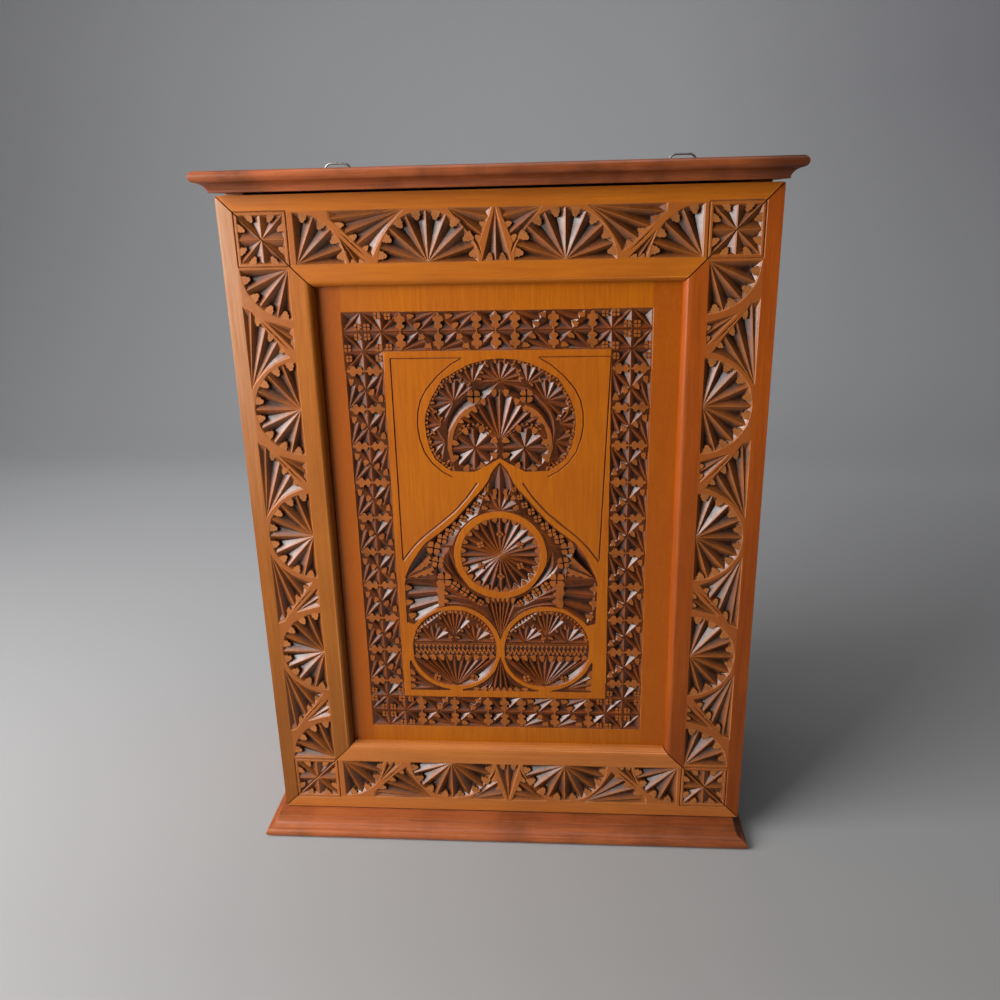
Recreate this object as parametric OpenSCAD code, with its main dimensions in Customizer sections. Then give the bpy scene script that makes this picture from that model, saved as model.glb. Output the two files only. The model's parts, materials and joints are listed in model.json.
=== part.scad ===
// Hanging wall cabinet: a mitred door over a nailed case with moulded top and base boards.
// Millimetres. X runs across, Y into the depth with the door at the front (-Y), Z up.
// The origin is the centre of the footprint, on the surface that the base board stands on.

/* [Door] */
// Width of the door
door_w = 380; // [280:1:520]
// Height of the door
door_h = 494; // [380:1:700]
// Thickness of the door's frame
door_t = 20; // [18:0.5:26]
// Width of the flat face of each frame member
member_w = 57; // [48:0.5:70]
// Width of the rounded inner edge of the frame
bead_w = 5; // [3:0.5:7]
// Depth of the rounded inner edge of the frame
bead_d = 6.5; // [4:0.5:7.5]
// Depth of the panel's face behind the frame's face
panel_set = 8; // [8:0.5:9]
// Thickness of the panel
panel_t = 7; // [5:0.5:8]
// Width of the rebate that holds the panel
rebate_w = 8; // [6:0.5:10]
// Width of the open joint between two frame members
mitre_gap = 0.8; // [0.1:0.1:1.2]
// Length of a mitre key along the frame's outer edges
key_len = 20; // [14:1:22]
// Thickness of a mitre key
key_t = 3; // [2:0.5:4]

/* [Case] */
// Depth of the sides, from the front edges to the back
case_d = 145; // [110:1:240]
// Thickness of the sides
side_t = 13; // [12:0.5:18]
// How far the door stands past the case on its opening side
door_lip = 4; // [0:0.5:6]
// Gap between the door and the case's front edges
door_gap = 0.8; // [0.6:0.1:1.2]
// Gap above the door
gap_top = 1.6; // [1:0.1:3]
// Gap below the door
gap_bottom = 1.3; // [1:0.1:3]
// Thickness of the back boards
back_t = 8; // [6:0.5:10]
// Width of the rebate in the sides for the back boards
back_rebate = 7; // [5:0.5:9]
// Joint left between two back boards
board_gap = 0.6; // [0.2:0.1:0.8]

/* [Moulded boards] */
// Thickness of the cornice board
cornice_t = 13.5; // [12:0.5:20]
// Thickness of the base board
base_t = 15; // [12:0.5:22]
// How far the square edges of both boards stand before the door's face
front_reach = 12; // [4:0.5:20]
// How far the moulding stands out past the square edges
mould_reach = 9; // [7:0.5:12]
// Radius of the rounded nose of the moulding
nose_r = 3.6; // [2.5:0.1:4.5]
// Radius of the hollow under the nose
cove_r = 8; // [6.5:0.5:14]
// Height of the small square edge below the hollow
fillet_h = 1.5; // [0.5:0.1:2.5]
// Sideways offset of the base board from the door, to the left
base_shift = 4; // [0:0.5:4]

/* [Inside] */
// Thickness of the shelf
shelf_t = 12; // [9:0.5:16]
// Height of the shelf's top above the base board
shelf_z = 250; // [150:1:300]
// Setback of the shelf from the front edges of the sides
shelf_set = 12; // [6:1:40]
// Side of the square section of the shelf battens
batten = 12; // [9:0.5:16]
// Height of the hanging rail under the cornice board
rail_h = 26; // [24:1:40]
// Depth of the hanging rail
rail_d = 15; // [12:1:24]

/* [Hinges] */
// Length of a hinge
hinge_len = 40; // [36:1:60]
// Gap between the hinge's knuckles and the wood beside them
knuckle_gap = 0.3; // [0.2:0.05:0.6]
// Distance from the door's top or bottom edge to the middle of a hinge
hinge_edge = 44; // [44:1:90]
// Width of a hinge leaf, measured from the case's outer face
leaf_w = 11; // [10:0.5:11.5]
// Thickness of a hinge leaf
leaf_t = 1.4; // [1:0.1:1.8]
// Outer radius of the hinge knuckles
knuckle_r = 2.7; // [2.4:0.1:3.2]
// Radius of the hinge pin
hinge_pin_r = 1.3; // [1:0.1:1.5]

/* [Hangers] */
// Distance of each hanger from the door's nearer edge
hanger_inset = 47; // [42:1:100]
// Width of a hanger plate
plate_w = 16; // [12:1:20]
// Height of a hanger plate
plate_h = 29; // [27:1:31]
// Thickness of a hanger plate
plate_t = 1.2; // [1:0.1:1.6]
// Radius of the wire of a hanging loop
wire_r = 0.9; // [0.8:0.05:1.1]
// Width of a hanging loop, between the centres of its legs
loop_w = 22; // [20:1:28]
// Height of a hanging loop, from its pivot to the centre of its top bar
loop_h = 17; // [14:0.5:24]
// Radius of the upper bends of a hanging loop
loop_bend = 6; // [3:0.5:8]
// Depth of the loop's pivot below the top of the cornice board
pivot_drop = 6; // [5.5:0.1:8]
// Lean of the loop towards the front when it rests in its notch
loop_lean = 12; // [0:1:13]
// Room in front of the loop's pivot in its notch
notch_room = 2.6; // [2.6:0.1:4]
// Room beside each leg of the loop in its notch
notch_side = 1.5; // [1:0.1:3]
// Depth of the notch below the loop's pivot
notch_under = 3; // [2.5:0.1:4]
// Depth of the hanger plate's outer face below the back
plate_sunk = 0.1; // [0.05:0.05:0.5]
// Wall of the barrel that the wire turns in
barrel_wall = 1; // [0.8:0.1:1.4]
// Depth of the upper hanger screw below the loop's pivot
upper_screw_drop = 14; // [12:0.5:15]
// Distance between the two screws of a hanger plate
plate_screw_pitch = 9; // [7:0.5:10]

/* [Catch] */
// Height of the catch above the base board
catch_z = 300; // [270:1:340]
// Length of the catch's leaves along the door's edge
catch_w = 9; // [6:0.5:12]
// Radius of the striker's rounded end
bulb_r = 2; // [1.5:0.1:2.2]
// Distance from the door's back to the middle of the striker's rounded end
bulb_y = 9; // [8:0.5:12]
// Thickness of the catch's sheet
catch_sheet = 0.8; // [0.6:0.1:1]
// Depth of the catch's mouth behind the case's front edge
catch_set = 2.5; // [1:0.5:3]
// Room behind the striker's rounded end in the catch
catch_room = 6; // [4:0.5:10]
// Space between the striker's rounded end and each leaf
jaw_room = 1.8; // [1.2:0.1:2.4]
// Height of the catch's plate on the side
catch_plate_h = 32; // [28:1:40]
// Height of the striker's plate on the door
striker_plate_h = 26; // [24:1:34]
// Width of the striker's plate on the door
striker_plate_w = 10; // [8:0.5:11]

/* [Screws and nails] */
// Radius of a screw's head
screw_head_r = 2.5; // [2:0.1:2.8]
// Radius of a screw's shank
screw_r = 1.3; // [1:0.1:1.5]
// Length of a hinge or catch screw
screw_len = 9; // [7:0.5:10]
// Length of a hanger screw
hanger_screw_len = 16; // [12:0.5:20]
// Radius of a nail's shank
nail_r = 0.9; // [0.7:0.1:1.2]
// Radius of a nail's head
nail_head_r = 1.7; // [1.4:0.1:2]
// Length of a case nail
nail_len = 34; // [28:1:45]
// Length of a back nail beyond the back boards
back_nail_bite = 10; // [8:0.5:12]
// Thickness of a nail's head
nail_head_t = 0.6; // [0.4:0.1:0.8]
// Width of the slot in a screw's head
slot_w = 0.6; // [0.4:0.1:0.8]
// Depth of the slot in a screw's head
slot_d = 0.5; // [0.3:0.1:0.7]
// Distance of the end nails and back nails from the ends of their row
nail_inset = 22; // [15:1:30]

/* [Carving] */
// Depth of the carved cuts
cut_d = 3; // [2:0.1:3.8]
// Width of the carved band on each frame member
band_w = 35; // [28:0.5:36]
// Width of the panel's carved border
border_w = 27.8; // [24:0.1:30]
// Distance from the frame's opening to the panel's border, at the top and both sides
border_set = 18.2; // [14:0.1:22]
// Distance from the frame's opening to the panel's border, at the bottom
border_foot = 14.2; // [12:0.1:20]

/* [Clearances] */
// Radial play of a turning fit
play = 0.05; // [0.02:0.01:0.1]
// Gap round a piece that is let in or slid in
ease = 0.15; // [0.05:0.05:0.3]
// Gap between pieces that move past each other
free_gap = 0.4; // [0.3:0.05:0.6]

/* [Hidden] */
$fn = 64;

// Overshoot of a cutting shape past the faces that it opens
over = 1;
// Heights of the main pieces
case_z = base_t;
case_h = gap_bottom + door_h + gap_top;
door_z = case_z + gap_bottom;
case_top = case_z + case_h;
top_z = case_top + cornice_t;
// Places across
left_x = -door_w / 2;
right_x = door_w / 2;
case_right_x = right_x - door_lip;
inner_left_x = left_x + side_t;
inner_right_x = case_right_x - side_t;
inner_w = inner_right_x - inner_left_x;
// Places in depth, with the door's face at zero
case_y = door_t + door_gap;
back_y = case_y + case_d;
back_face_y = back_y - back_t;
nose_y = -front_reach - mould_reach;
// Offset that brings the middle of the footprint to the origin
origin_x = ((left_x - max(base_shift, 0) - mould_reach) + (right_x + mould_reach)) / 2;
origin_y = (nose_y + back_y) / 2;
// Frame members and panel
opening = member_w + bead_w;
panel_edge = opening - rebate_w + ease;
slip_t = door_t - panel_set - panel_t;
// Hinge pin axis
pin_x = left_x - knuckle_r - knuckle_gap;
pin_y = door_t + door_gap / 2;
knuckles = 5;
knuckle_len = (hinge_len - (knuckles - 1) * free_gap) / knuckles;
hinge_z = [door_z + door_h - hinge_edge, door_z + hinge_edge];
hinge_screws = 3;
// Hanging loops
pivot_play_r = wire_r + play;
barrel_r = wire_r + barrel_wall;
foot_bend = 2 * wire_r + 0.2;
barrel_len = loop_w - 4 * foot_bend;
plate_y = back_y - plate_sunk;
pivot_y = plate_y - barrel_r;
pivot_z = top_z - pivot_drop;
notch_y = pivot_y - notch_room;
notch_half = loop_w / 2 + wire_r + notch_side;
hanger_x = door_w / 2 - hanger_inset;
hanger_screw_z = [pivot_z - upper_screw_drop, pivot_z - upper_screw_drop - plate_screw_pitch];
// Catch
bulb_w = catch_w - 2;
catch_x = inner_right_x - catch_sheet - free_gap - max(bulb_w, striker_plate_w) / 2;
catch_mid_z = case_z + catch_z;
bulb_mid_y = door_t + bulb_y;
mouth_y = case_y + catch_set;
jaw = bulb_r + jaw_room;
mouth = bulb_r + free_gap;
lip_r = (jaw - mouth + catch_sheet / 2) / 2;
catch_back_y = bulb_mid_y + bulb_r + catch_room;
plate_screw_edge = 2 * screw_head_r;
// Carving: where a cut starts and how much of its length and width it takes
cut_root = 2;
cut_share = 0.82;
cut_land = 0.86;
// Fans on the frame: line of their centres, places along a stile and a rail, and their size
band_z = (member_w + band_w) / 2;
fan_share = 0.375;
stile_end = member_w - 8;
stile_pitch = (door_h - 2 * stile_end) / 4;
stile_fans = [for (i = [0 : 4]) stile_end + i * stile_pitch];
rail_end = member_w - 5;
rail_pitch = 0.66 * (door_w / 2 - rail_end);
rail_fans = [rail_end, rail_end + rail_pitch, door_w - rail_end - rail_pitch, door_w - rail_end];
// Stars in the frame's corners
star_z = member_w / 2 + 1;
star_r = 0.284 * member_w;
// Border of the panel and the field inside it
border_x = door_w / 2 - opening - border_set;
border_z = [door_z + opening + border_foot, door_z + door_h - opening - border_set];
border_mid = (border_z[0] + border_z[1]) / 2;
field_x = border_x - border_w;
field_h = border_z[1] - border_z[0] - 2 * border_w;
cells_across = 6;
cells_up = 10;
// Motif: half its width, its height and the height of its middle as it is drawn
motif_x = 82;
motif_h = 282;
motif_mid = 245;
// Size at which the points of a cut are laid out
$draw = 1;
// Nails
nail_y = [case_y + nail_inset, case_y + case_d / 2, back_y - nail_inset];

honey = [0.72, 0.42, 0.14];
redwood = [0.45, 0.2, 0.1];
plain = [0.7, 0.5, 0.3];
brass = [0.72, 0.56, 0.26];
steel = [0.4, 0.4, 0.42];

// Moves a piece from the door's own places to the frame with the footprint's middle at the origin
module place() {
    translate([-origin_x, -origin_y, 0]) children();
}

// Extrudes an outline drawn in X and Z along +Y, from y0 to y1
module along_y(y0, y1) {
    translate([0, y1, 0]) rotate([90, 0, 0]) linear_extrude(y1 - y0) children();
}

// Extrudes an outline drawn in Y and Z along +X, from x0 to x1
module along_x(x0, x1) {
    translate([x0, 0, 0]) rotate([90, 0, 90]) linear_extrude(x1 - x0) children();
}

// A box given by its two opposite corners
module box(low, high) {
    translate(low) cube(high - low);
}

// Cylinder along Y from y0 to y1
module rod_y(x, z, r, y0, y1) {
    translate([x, y1, z]) rotate([90, 0, 0]) cylinder(r = r, h = y1 - y0);
}

// Cylinder along X from x0 to x1
module rod_x(y, z, r, x0, x1) {
    translate([x0, y, z]) rotate([0, 90, 0]) cylinder(r = r, h = x1 - x0);
}

// Moulded edge of a board of thickness t, beyond its square edge at zero: fillet, hollow and nose
module edge_section(t) {
    hollow_top = [mould_reach - nose_r, t - 2 * nose_r];
    foot = [0, fillet_h];
    span = hollow_top - foot;
    chord = norm(span);
    rise = sqrt(cove_r * cove_r - chord * chord / 4);
    centre = (foot + hollow_top) / 2 + rise * [span[1], -span[0]] / chord;
    difference() {
        polygon([[-over, 0], [0, 0], foot, hollow_top, [hollow_top[0], t], [-over, t]]);
        translate(centre) circle(r = cove_r, $fn = 96);
    }
    translate([hollow_top[0], t - nose_r]) circle(r = nose_r, $fn = 48);
}

// Board with the moulded edge at its front and both ends, its square underside at z = 0
module moulded_board(x0, x1, t) {
    intersection() {
        along_x(x0 - mould_reach - over, x1 + mould_reach + over) {
            translate([-front_reach, 0]) mirror([1, 0]) edge_section(t);
            translate([-front_reach, 0]) square([back_y + front_reach, t]);
        }
        along_y(nose_y - over, back_y + over) {
            translate([x0, 0]) mirror([1, 0]) edge_section(t);
            translate([x0, 0]) square([x1 - x0, t]);
            translate([x1, 0]) edge_section(t);
        }
    }
}

// Nail with its flat head at the origin's level, pointing down
module nail(len) {
    translate([0, 0, -len]) cylinder(r = nail_r, h = len);
    translate([0, 0, -nail_head_t]) cylinder(r = nail_head_r, h = nail_head_t);
}

// Countersunk screw with its slotted head flush at the origin's level, pointing down
module screw(len) {
    difference() {
        union() {
            translate([0, 0, -len]) cylinder(r = screw_r, h = len);
            translate([0, 0, screw_r - screw_head_r])
                cylinder(r1 = screw_r, r2 = screw_head_r, h = screw_head_r - screw_r);
        }
        translate([-screw_head_r - over, -slot_w / 2, -slot_d])
            cube([2 * (screw_head_r + over), slot_w, slot_d + over]);
    }
}

// Hole that a countersunk screw fills
module screw_hole(len) {
    translate([0, 0, -len - ease]) cylinder(r = screw_r, h = len + ease + over);
    translate([0, 0, screw_r - screw_head_r])
        cylinder(r1 = screw_r, r2 = screw_head_r, h = screw_head_r - screw_r);
    cylinder(r = screw_head_r, h = over);
}

// Hole that a nail fills
module nail_hole(len) {
    translate([0, 0, -len - ease]) cylinder(r = nail_r, h = len + ease + over);
    translate([0, 0, -nail_head_t]) cylinder(r = nail_head_r, h = nail_head_t + over);
}

// Places of the nails through the cornice and base boards into the ends of the sides
module at_end_nails() {
    for (x = [left_x + side_t / 2, case_right_x - side_t / 2], y = nail_y)
        translate([x, y, 0]) children();
}

module at_cornice_nails() {
    translate([0, 0, top_z]) at_end_nails() children();
}

module at_base_nails() {
    at_end_nails() mirror([0, 0, 1]) children();
}

// Nails through the back boards: the outer ones into the sides, the middle one into rail and shelf
back_nail_rows = 4;
back_nail_z = [for (i = [0:back_nail_rows - 1])
    case_z + 2 * nail_inset + i * (case_h - 4 * nail_inset) / (back_nail_rows - 1)];
shelf_mid_z = case_z + shelf_z - shelf_t / 2;
module at_back_nails() {
    for (x = [inner_left_x - back_rebate / 2, inner_right_x + back_rebate / 2], z = back_nail_z)
        translate([x, back_y, z]) rotate([-90, 0, 0]) children();
    for (side = [-1, 1], z = [case_top - rail_h / 2, shelf_mid_z])
        translate([(inner_left_x + inner_right_x) / 2 + side * inner_w / 9, back_y, z])
            rotate([-90, 0, 0]) children();
}

// Nails through the battens into the sides, and through the sides into the rail
batten_y = [case_y + case_d * 0.3, case_y + case_d * 0.7];
batten_mid_z = case_z + shelf_z - shelf_t - batten / 2;
module at_side_nails() {
    for (y = batten_y) {
        translate([inner_left_x + batten, y, batten_mid_z]) rotate([0, 90, 0]) children(0);
        translate([inner_right_x - batten, y, batten_mid_z]) rotate([0, -90, 0]) children(0);
    }
    for (dz = [1, 3]) {
        rail_nail_z = case_top - rail_h * dz / 4;
        translate([left_x, back_face_y - rail_d / 2, rail_nail_z])
            rotate([0, -90, 0]) children(1);
        translate([case_right_x, back_face_y - rail_d / 2, rail_nail_z])
            rotate([0, 90, 0]) children(1);
    }
}
batten_nail_len = batten + side_t * 0.7;

// Screws of the hinge leaves, pointing into the case's front edge
leaf_screw_x = left_x + leaf_w / 2;
leaf_screw_z = [for (z = hinge_z, i = [0:hinge_screws - 1])
    z + (i - (hinge_screws - 1) / 2) * hinge_len / hinge_screws];
module at_case_screws() {
    for (z = leaf_screw_z)
        translate([leaf_screw_x, case_y, z]) rotate([90, 0, 0]) children();
}

module at_door_screws() {
    for (z = leaf_screw_z)
        translate([leaf_screw_x, door_t, z]) rotate([-90, 0, 0]) children();
}

// Beds that are cut into the wood for the hinge leaves
module case_leaf_beds() {
    for (z = hinge_z)
        box([left_x - over, case_y - over, z - hinge_len / 2 - ease],
            [left_x + leaf_w + ease, case_y + leaf_t, z + hinge_len / 2 + ease]);
}

module door_leaf_beds() {
    for (z = hinge_z)
        box([left_x - over, door_t - leaf_t, z - hinge_len / 2 - ease],
            [left_x + leaf_w + ease, door_t + over, z + hinge_len / 2 + ease]);
}

// Screws of the hanger plates
module at_hanger_screws() {
    for (side = [-1, 1], z = hanger_screw_z)
        translate([side * hanger_x, plate_y, z]) rotate([-90, 0, 0]) children();
}

// Notch for each hanging loop and bed for each hanger plate, cut into the back
module hanger_beds() {
    for (side = [-1, 1]) {
        x = side * hanger_x;
        box([x - notch_half, notch_y, pivot_z - notch_under],
            [x + notch_half, back_y + over, top_z + over]);
        box([x - plate_w / 2 - ease, plate_y - plate_t, pivot_z - plate_h - ease],
            [x + plate_w / 2 + ease, back_y + over, pivot_z]);
    }
}

module at_catch_screws() {
    for (dz = [-1, 1])
        translate([inner_right_x - catch_sheet, (mouth_y + catch_back_y) / 2,
            catch_mid_z + dz * (catch_plate_h / 2 - plate_screw_edge)])
            rotate([0, -90, 0]) children();
}

module at_striker_screws() {
    for (dz = [-1, 1])
        translate([catch_x, door_t + catch_sheet,
            catch_mid_z + dz * (striker_plate_h / 2 - plate_screw_edge)])
            rotate([-90, 0, 0]) children();
}

module cornice_board() {
    color(redwood) place() difference() {
        translate([0, 0, case_top]) moulded_board(left_x, right_x, cornice_t);
        at_cornice_nails() nail_hole(nail_len);
        hanger_beds();
    }
}

module base_board() {
    color(redwood) place() difference() {
        translate([-base_shift, 0, base_t]) mirror([0, 0, 1])
            moulded_board(left_x, right_x, base_t);
        at_base_nails() nail_hole(nail_len);
    }
}

module left_side() {
    color(plain) place() difference() {
        box([left_x, case_y, case_z], [inner_left_x, back_y, case_top]);
        box([inner_left_x - back_rebate, back_face_y, case_z - over],
            [inner_left_x + over, back_y + over, case_top + over]);
        case_leaf_beds();
        at_case_screws() screw_hole(screw_len);
        at_cornice_nails() nail_hole(nail_len);
        at_base_nails() nail_hole(nail_len);
        at_back_nails() nail_hole(back_nail_bite + back_t);
        at_side_nails() {
            nail_hole(batten_nail_len);
            nail_hole(nail_len);
        }
    }
}

module right_side() {
    color(plain) place() difference() {
        box([inner_right_x, case_y, case_z], [case_right_x, back_y, case_top]);
        box([inner_right_x - over, back_face_y, case_z - over],
            [inner_right_x + back_rebate, back_y + over, case_top + over]);
        at_catch_screws() screw_hole(screw_len);
        at_cornice_nails() nail_hole(nail_len);
        at_base_nails() nail_hole(nail_len);
        at_back_nails() nail_hole(back_nail_bite + back_t);
        at_side_nails() {
            nail_hole(batten_nail_len);
            nail_hole(nail_len);
        }
    }
}

// Back board number i, counted from the left
back_boards = 3;
back_w = inner_w + 2 * back_rebate - 2 * ease;
board_w = (back_w - (back_boards - 1) * board_gap) / back_boards;
module back_board(i) {
    x = inner_left_x - back_rebate + ease + i * (board_w + board_gap);
    color(plain) place() difference() {
        box([x, back_face_y, case_z], [x + board_w, back_y, case_top]);
        hanger_beds();
        at_back_nails() nail_hole(back_nail_bite + back_t);
        at_hanger_screws() screw_hole(hanger_screw_len);
    }
}

module back_board_left() {
    back_board(0);
}

module back_board_middle() {
    back_board(1);
}

module back_board_right() {
    back_board(2);
}

module hanging_rail() {
    color(plain) place() difference() {
        box([inner_left_x, back_face_y - rail_d, case_top - rail_h],
            [inner_right_x, back_face_y, case_top]);
        at_back_nails() nail_hole(back_nail_bite + back_t);
        at_hanger_screws() screw_hole(hanger_screw_len);
        at_side_nails() {
            nail_hole(batten_nail_len);
            nail_hole(nail_len);
        }
    }
}

module shelf() {
    color(plain) place() difference() {
        box([inner_left_x + ease, case_y + shelf_set, case_z + shelf_z - shelf_t],
            [inner_right_x - ease, back_face_y, case_z + shelf_z]);
        at_back_nails() nail_hole(back_nail_bite + back_t);
    }
}

// Batten under one end of the shelf, from x0 to x1
module shelf_batten(x0, x1) {
    color(plain) place() difference() {
        box([x0, case_y + 2 * shelf_set, case_z + shelf_z - shelf_t - batten],
            [x1, back_face_y, case_z + shelf_z - shelf_t]);
        at_side_nails() {
            nail_hole(batten_nail_len);
            nail_hole(nail_len);
        }
    }
}

module shelf_batten_left() {
    shelf_batten(inner_left_x, inner_left_x + batten);
}

module shelf_batten_right() {
    shelf_batten(inner_right_x - batten, inner_right_x);
}

module cornice_nails() {
    color(steel) place() at_cornice_nails() nail(nail_len);
}

module base_nails() {
    color(steel) place() at_base_nails() nail(nail_len);
}

module back_nails() {
    color(steel) place() at_back_nails() nail(back_nail_bite + back_t);
}

module side_nails() {
    color(steel) place() at_side_nails() {
        nail(batten_nail_len);
        nail(nail_len);
    }
}

// Cross-section of a frame member: across its width from the outer edge, and back from its face
module member_section() {
    difference() {
        square([opening, door_t]);
        translate([opening - rebate_w, panel_set]) square([rebate_w + over, door_t]);
        difference() {
            translate([member_w, -over]) square([bead_w + over, bead_d + over]);
            translate([member_w, bead_d]) scale([1, bead_d / bead_w]) circle(r = bead_w);
        }
    }
}

// Trapezium in X and Z that cuts the mitres of a member of the given length along X
module mitre_outline(length) {
    g = mitre_gap / sqrt(2);
    polygon([[g, 0], [length - g, 0], [length - opening - over - g, opening + over],
        [opening + over + g, opening + over]]);
}

// V-shaped cut in a face at y = 0, from a point in X and Z towards the middle between two others,
// which widens and deepens on its way
module cut(from, one, two, depth = cut_d) {
    run = ((one + two) / 2 - from) * $draw;
    length = norm(run) * cut_share - cut_root;
    half = norm(one - two) / 2 * $draw * cut_share * cut_land;
    tall = depth + over;
    wide = tall * half * norm([depth, length]) / (depth * length);
    translate([from[0], 0, from[1]] * $draw) rotate([0, -atan2(run[1], run[0]), 0])
        translate([cut_root, 0, 0]) rotate([0, 0, atan(depth / length)]) rotate([0, 90, 0])
            linear_extrude(norm([depth, length])) polygon([[0, 0], [wide, -tall], [-wide, -tall]]);
}

// Cuts from one point to each pair of neighbours in a row of points
module fan(from, tips, depth = cut_d) {
    for (i = [0 : len(tips) - 2]) cut(from, tips[i], tips[i + 1], depth);
}

// Cuts from one point to a round rim, with a ridge at each of the given angles
module round_fan(from, r, ridges, depth = cut_d) {
    fan(from, [for (a = ridges) from + r * [cos(a), sin(a)]], depth);
}

// Star of eight cuts in a square
module star(at, half) {
    fan(at, [for (p = [[1, 0], [1, 1], [0, 1], [-1, 1], [-1, 0], [-1, -1], [0, -1], [1, -1], [1, 0]])
        at + half * p]);
}

// Cuts that spread from beside a fan at x = 0 towards something at the given distance
module wing(start, reach, tips) {
    fan([start, band_w], [for (p = tips) [p[0] * reach, p[1] * band_w]]);
}

// Carved band of a frame member: a star at each end, fans between, and wings from fan to fan
module band(length, fans) {
    last = len(fans) - 1;
    pitch = fans[1] - fans[0];
    r = min(band_w - 1, fan_share * pitch);
    start = 0.157 * pitch;
    half_gap = length / 2 - fans[1];
    translate([0, 0, band_z]) mirror([0, 0, 1]) {
        for (i = [0 : last])
            round_fan([fans[i], 0], r, i == 0 ? [0, 18, 42, 66, 90] : i == last ? [90, 114, 138, 162, 180]
                : [0, 18, 42, 66, 90, 114, 138, 162, 180]);
        for (side = [0, 1]) translate([side * length, 0, 0]) mirror([side, 0, 0]) {
            for (i = [1 : floor(last / 2)]) translate([fans[i], 0, 0]) mirror([1, 0, 0])
                wing(start, pitch, [[0.75, 1], [0.7, 0.84], [0.6, 0.6], [0.495, 0.36], [0.39, 0.12]]);
            if (last == 3) translate([fans[1], 0, 0]) {
                wing(start, half_gap, [[0.94, 1], [0.885, 0.83], [0.78, 0.52], [0.73, 0.31]]);
                cut([half_gap, band_w], [half_gap, 0], [0.8 * half_gap, 0]);
            }
        }
    }
    for (x = [star_z, length - star_z]) star([x, star_z], star_r);
}

// Frame member of the given length lying along +X, its outer edge at z = 0 and its face at y = 0
module member(length, fans) {
    difference() {
        intersection() {
            along_x(0, length) rotate(90) mirror([0, 1]) member_section();
            along_y(-over, door_t + over) mitre_outline(length);
        }
        band(length, fans);
    }
}

// Triangular keys let into the outer corners of the frame, across each mitre
module at_corners() {
    for (sx = [0, 1], sz = [0, 1])
        translate([left_x + sx * door_w, 0, door_z + sz * door_h])
            mirror([sx, 0, 0]) mirror([0, 0, sz]) children();
}

key_y = (panel_set + door_t) / 2 - key_t;
module key() {
    along_y(key_y, key_y + key_t) polygon([[0, 0], [key_len, 0], [0, key_len]]);
}

module mitre_keys() {
    color(plain) place() at_corners() key();
}

module top_rail() {
    color(honey) place() difference() {
        translate([left_x, 0, door_z + door_h]) mirror([0, 0, 1]) member(door_w, rail_fans);
        at_corners() key();
    }
}

module bottom_rail() {
    color(honey) place() difference() {
        translate([left_x, 0, door_z]) member(door_w, rail_fans);
        at_corners() key();
    }
}

module left_stile() {
    color(honey) place() difference() {
        translate([left_x, 0, door_z + door_h]) rotate([0, 90, 0]) member(door_h, stile_fans);
        at_corners() key();
        door_leaf_beds();
        at_door_screws() screw_hole(screw_len);
    }
}

module right_stile() {
    color(honey) place() difference() {
        translate([right_x, 0, door_z]) rotate([0, -90, 0]) member(door_h, stile_fans);
        at_corners() key();
        at_striker_screws() screw_hole(screw_len);
    }
}

// Crossed cell of the panel's border: a cut from its middle to each side, or only towards one end
module cell(half, back, ahead) {
    rim = border_w / 2;
    if (back && ahead) for (side = [-1, 1]) cut([0, 0], [-half, side * rim], [half, side * rim]);
    if (ahead) cut([0, 0], [half, -rim], [half, rim]);
    if (back) cut([0, 0], [-half, -rim], [-half, rim]);
}

// Row of crossed cells along X about x = 0, with half a cell at both ends
module cell_row(count, length) {
    pitch = length / count;
    for (i = [0 : count])
        translate([i * pitch - length / 2, 0, 0]) cell(pitch / 2, i > 0, i < count);
}

// Corner of the panel's border: four cuts out to a diamond and four in from the corners
module border_corner() {
    rim = border_w / 2;
    for (x = [-rim, rim], z = [-rim, rim]) {
        cut([0, 0], [x, 0], [0, z]);
        cut([x, z], [x, 0], [0, z]);
    }
}

// Carved border of the panel, for a face at y = 0
module border() {
    mid = border_w / 2;
    for (z = [border_z[0] + mid, border_z[1] - mid]) {
        translate([0, 0, z]) cell_row(cells_across, 2 * field_x);
        for (x = [mid - border_x, border_x - mid]) translate([x, 0, z]) border_corner();
    }
    for (x = [mid - border_x, border_x - mid])
        translate([x, 0, border_mid]) rotate([0, 90, 0]) cell_row(cells_up, field_h);
}

// Right half of the round lobe: an arch over a star, with small fans round it
module lobe() {
    round_fan([0, 364], 15, [12, 54, 90]);
    round_fan([19, 362], 14, [104, 62, 18]);
    round_fan([33, 349], 14, [128, 86, 45, 4, -38]);
    round_fan([41, 332], 12, [52, 8, -36]);
    round_fan([41, 319], 12, [14, -37, -88]);
    cut([39, 320], [25, 351], [18, 355]);
    fan([0, 319], [[0, 359], [7, 350], [16, 345], [26, 337]]);
    round_fan([18, 314], 16.6, [0, 45, 90, 135, 180, 225, 270, 315, 360]);
}

// Right half of what stands under the lobe: neck, rosette, and the fans and sprays beside them
module ogee() {
    cut([0, 300], [0, 279], [8, 281], cut_d / 2);
    fan([0, 266], [[0, 277], [9, 276], [15, 267]], cut_d / 2);
    cut([12, 280], [70, 220], [50, 218]);
    round_fan([0, 228.6], 30, [-90, -60, -30, 0, 30, 60, 90]);
    fan([47, 199], [[75, 212], [76, 204], [76, 195], [76, 184], [75, 168]]);
    cut([8, 174], [41, 222], [46, 192]);
    cut([0, 152], [0, 193], [12, 190]);
    cut([0, 147], [14, 113], [0, 112]);
    cut([50, 114], [75, 112], [75, 129]);
}

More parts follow.
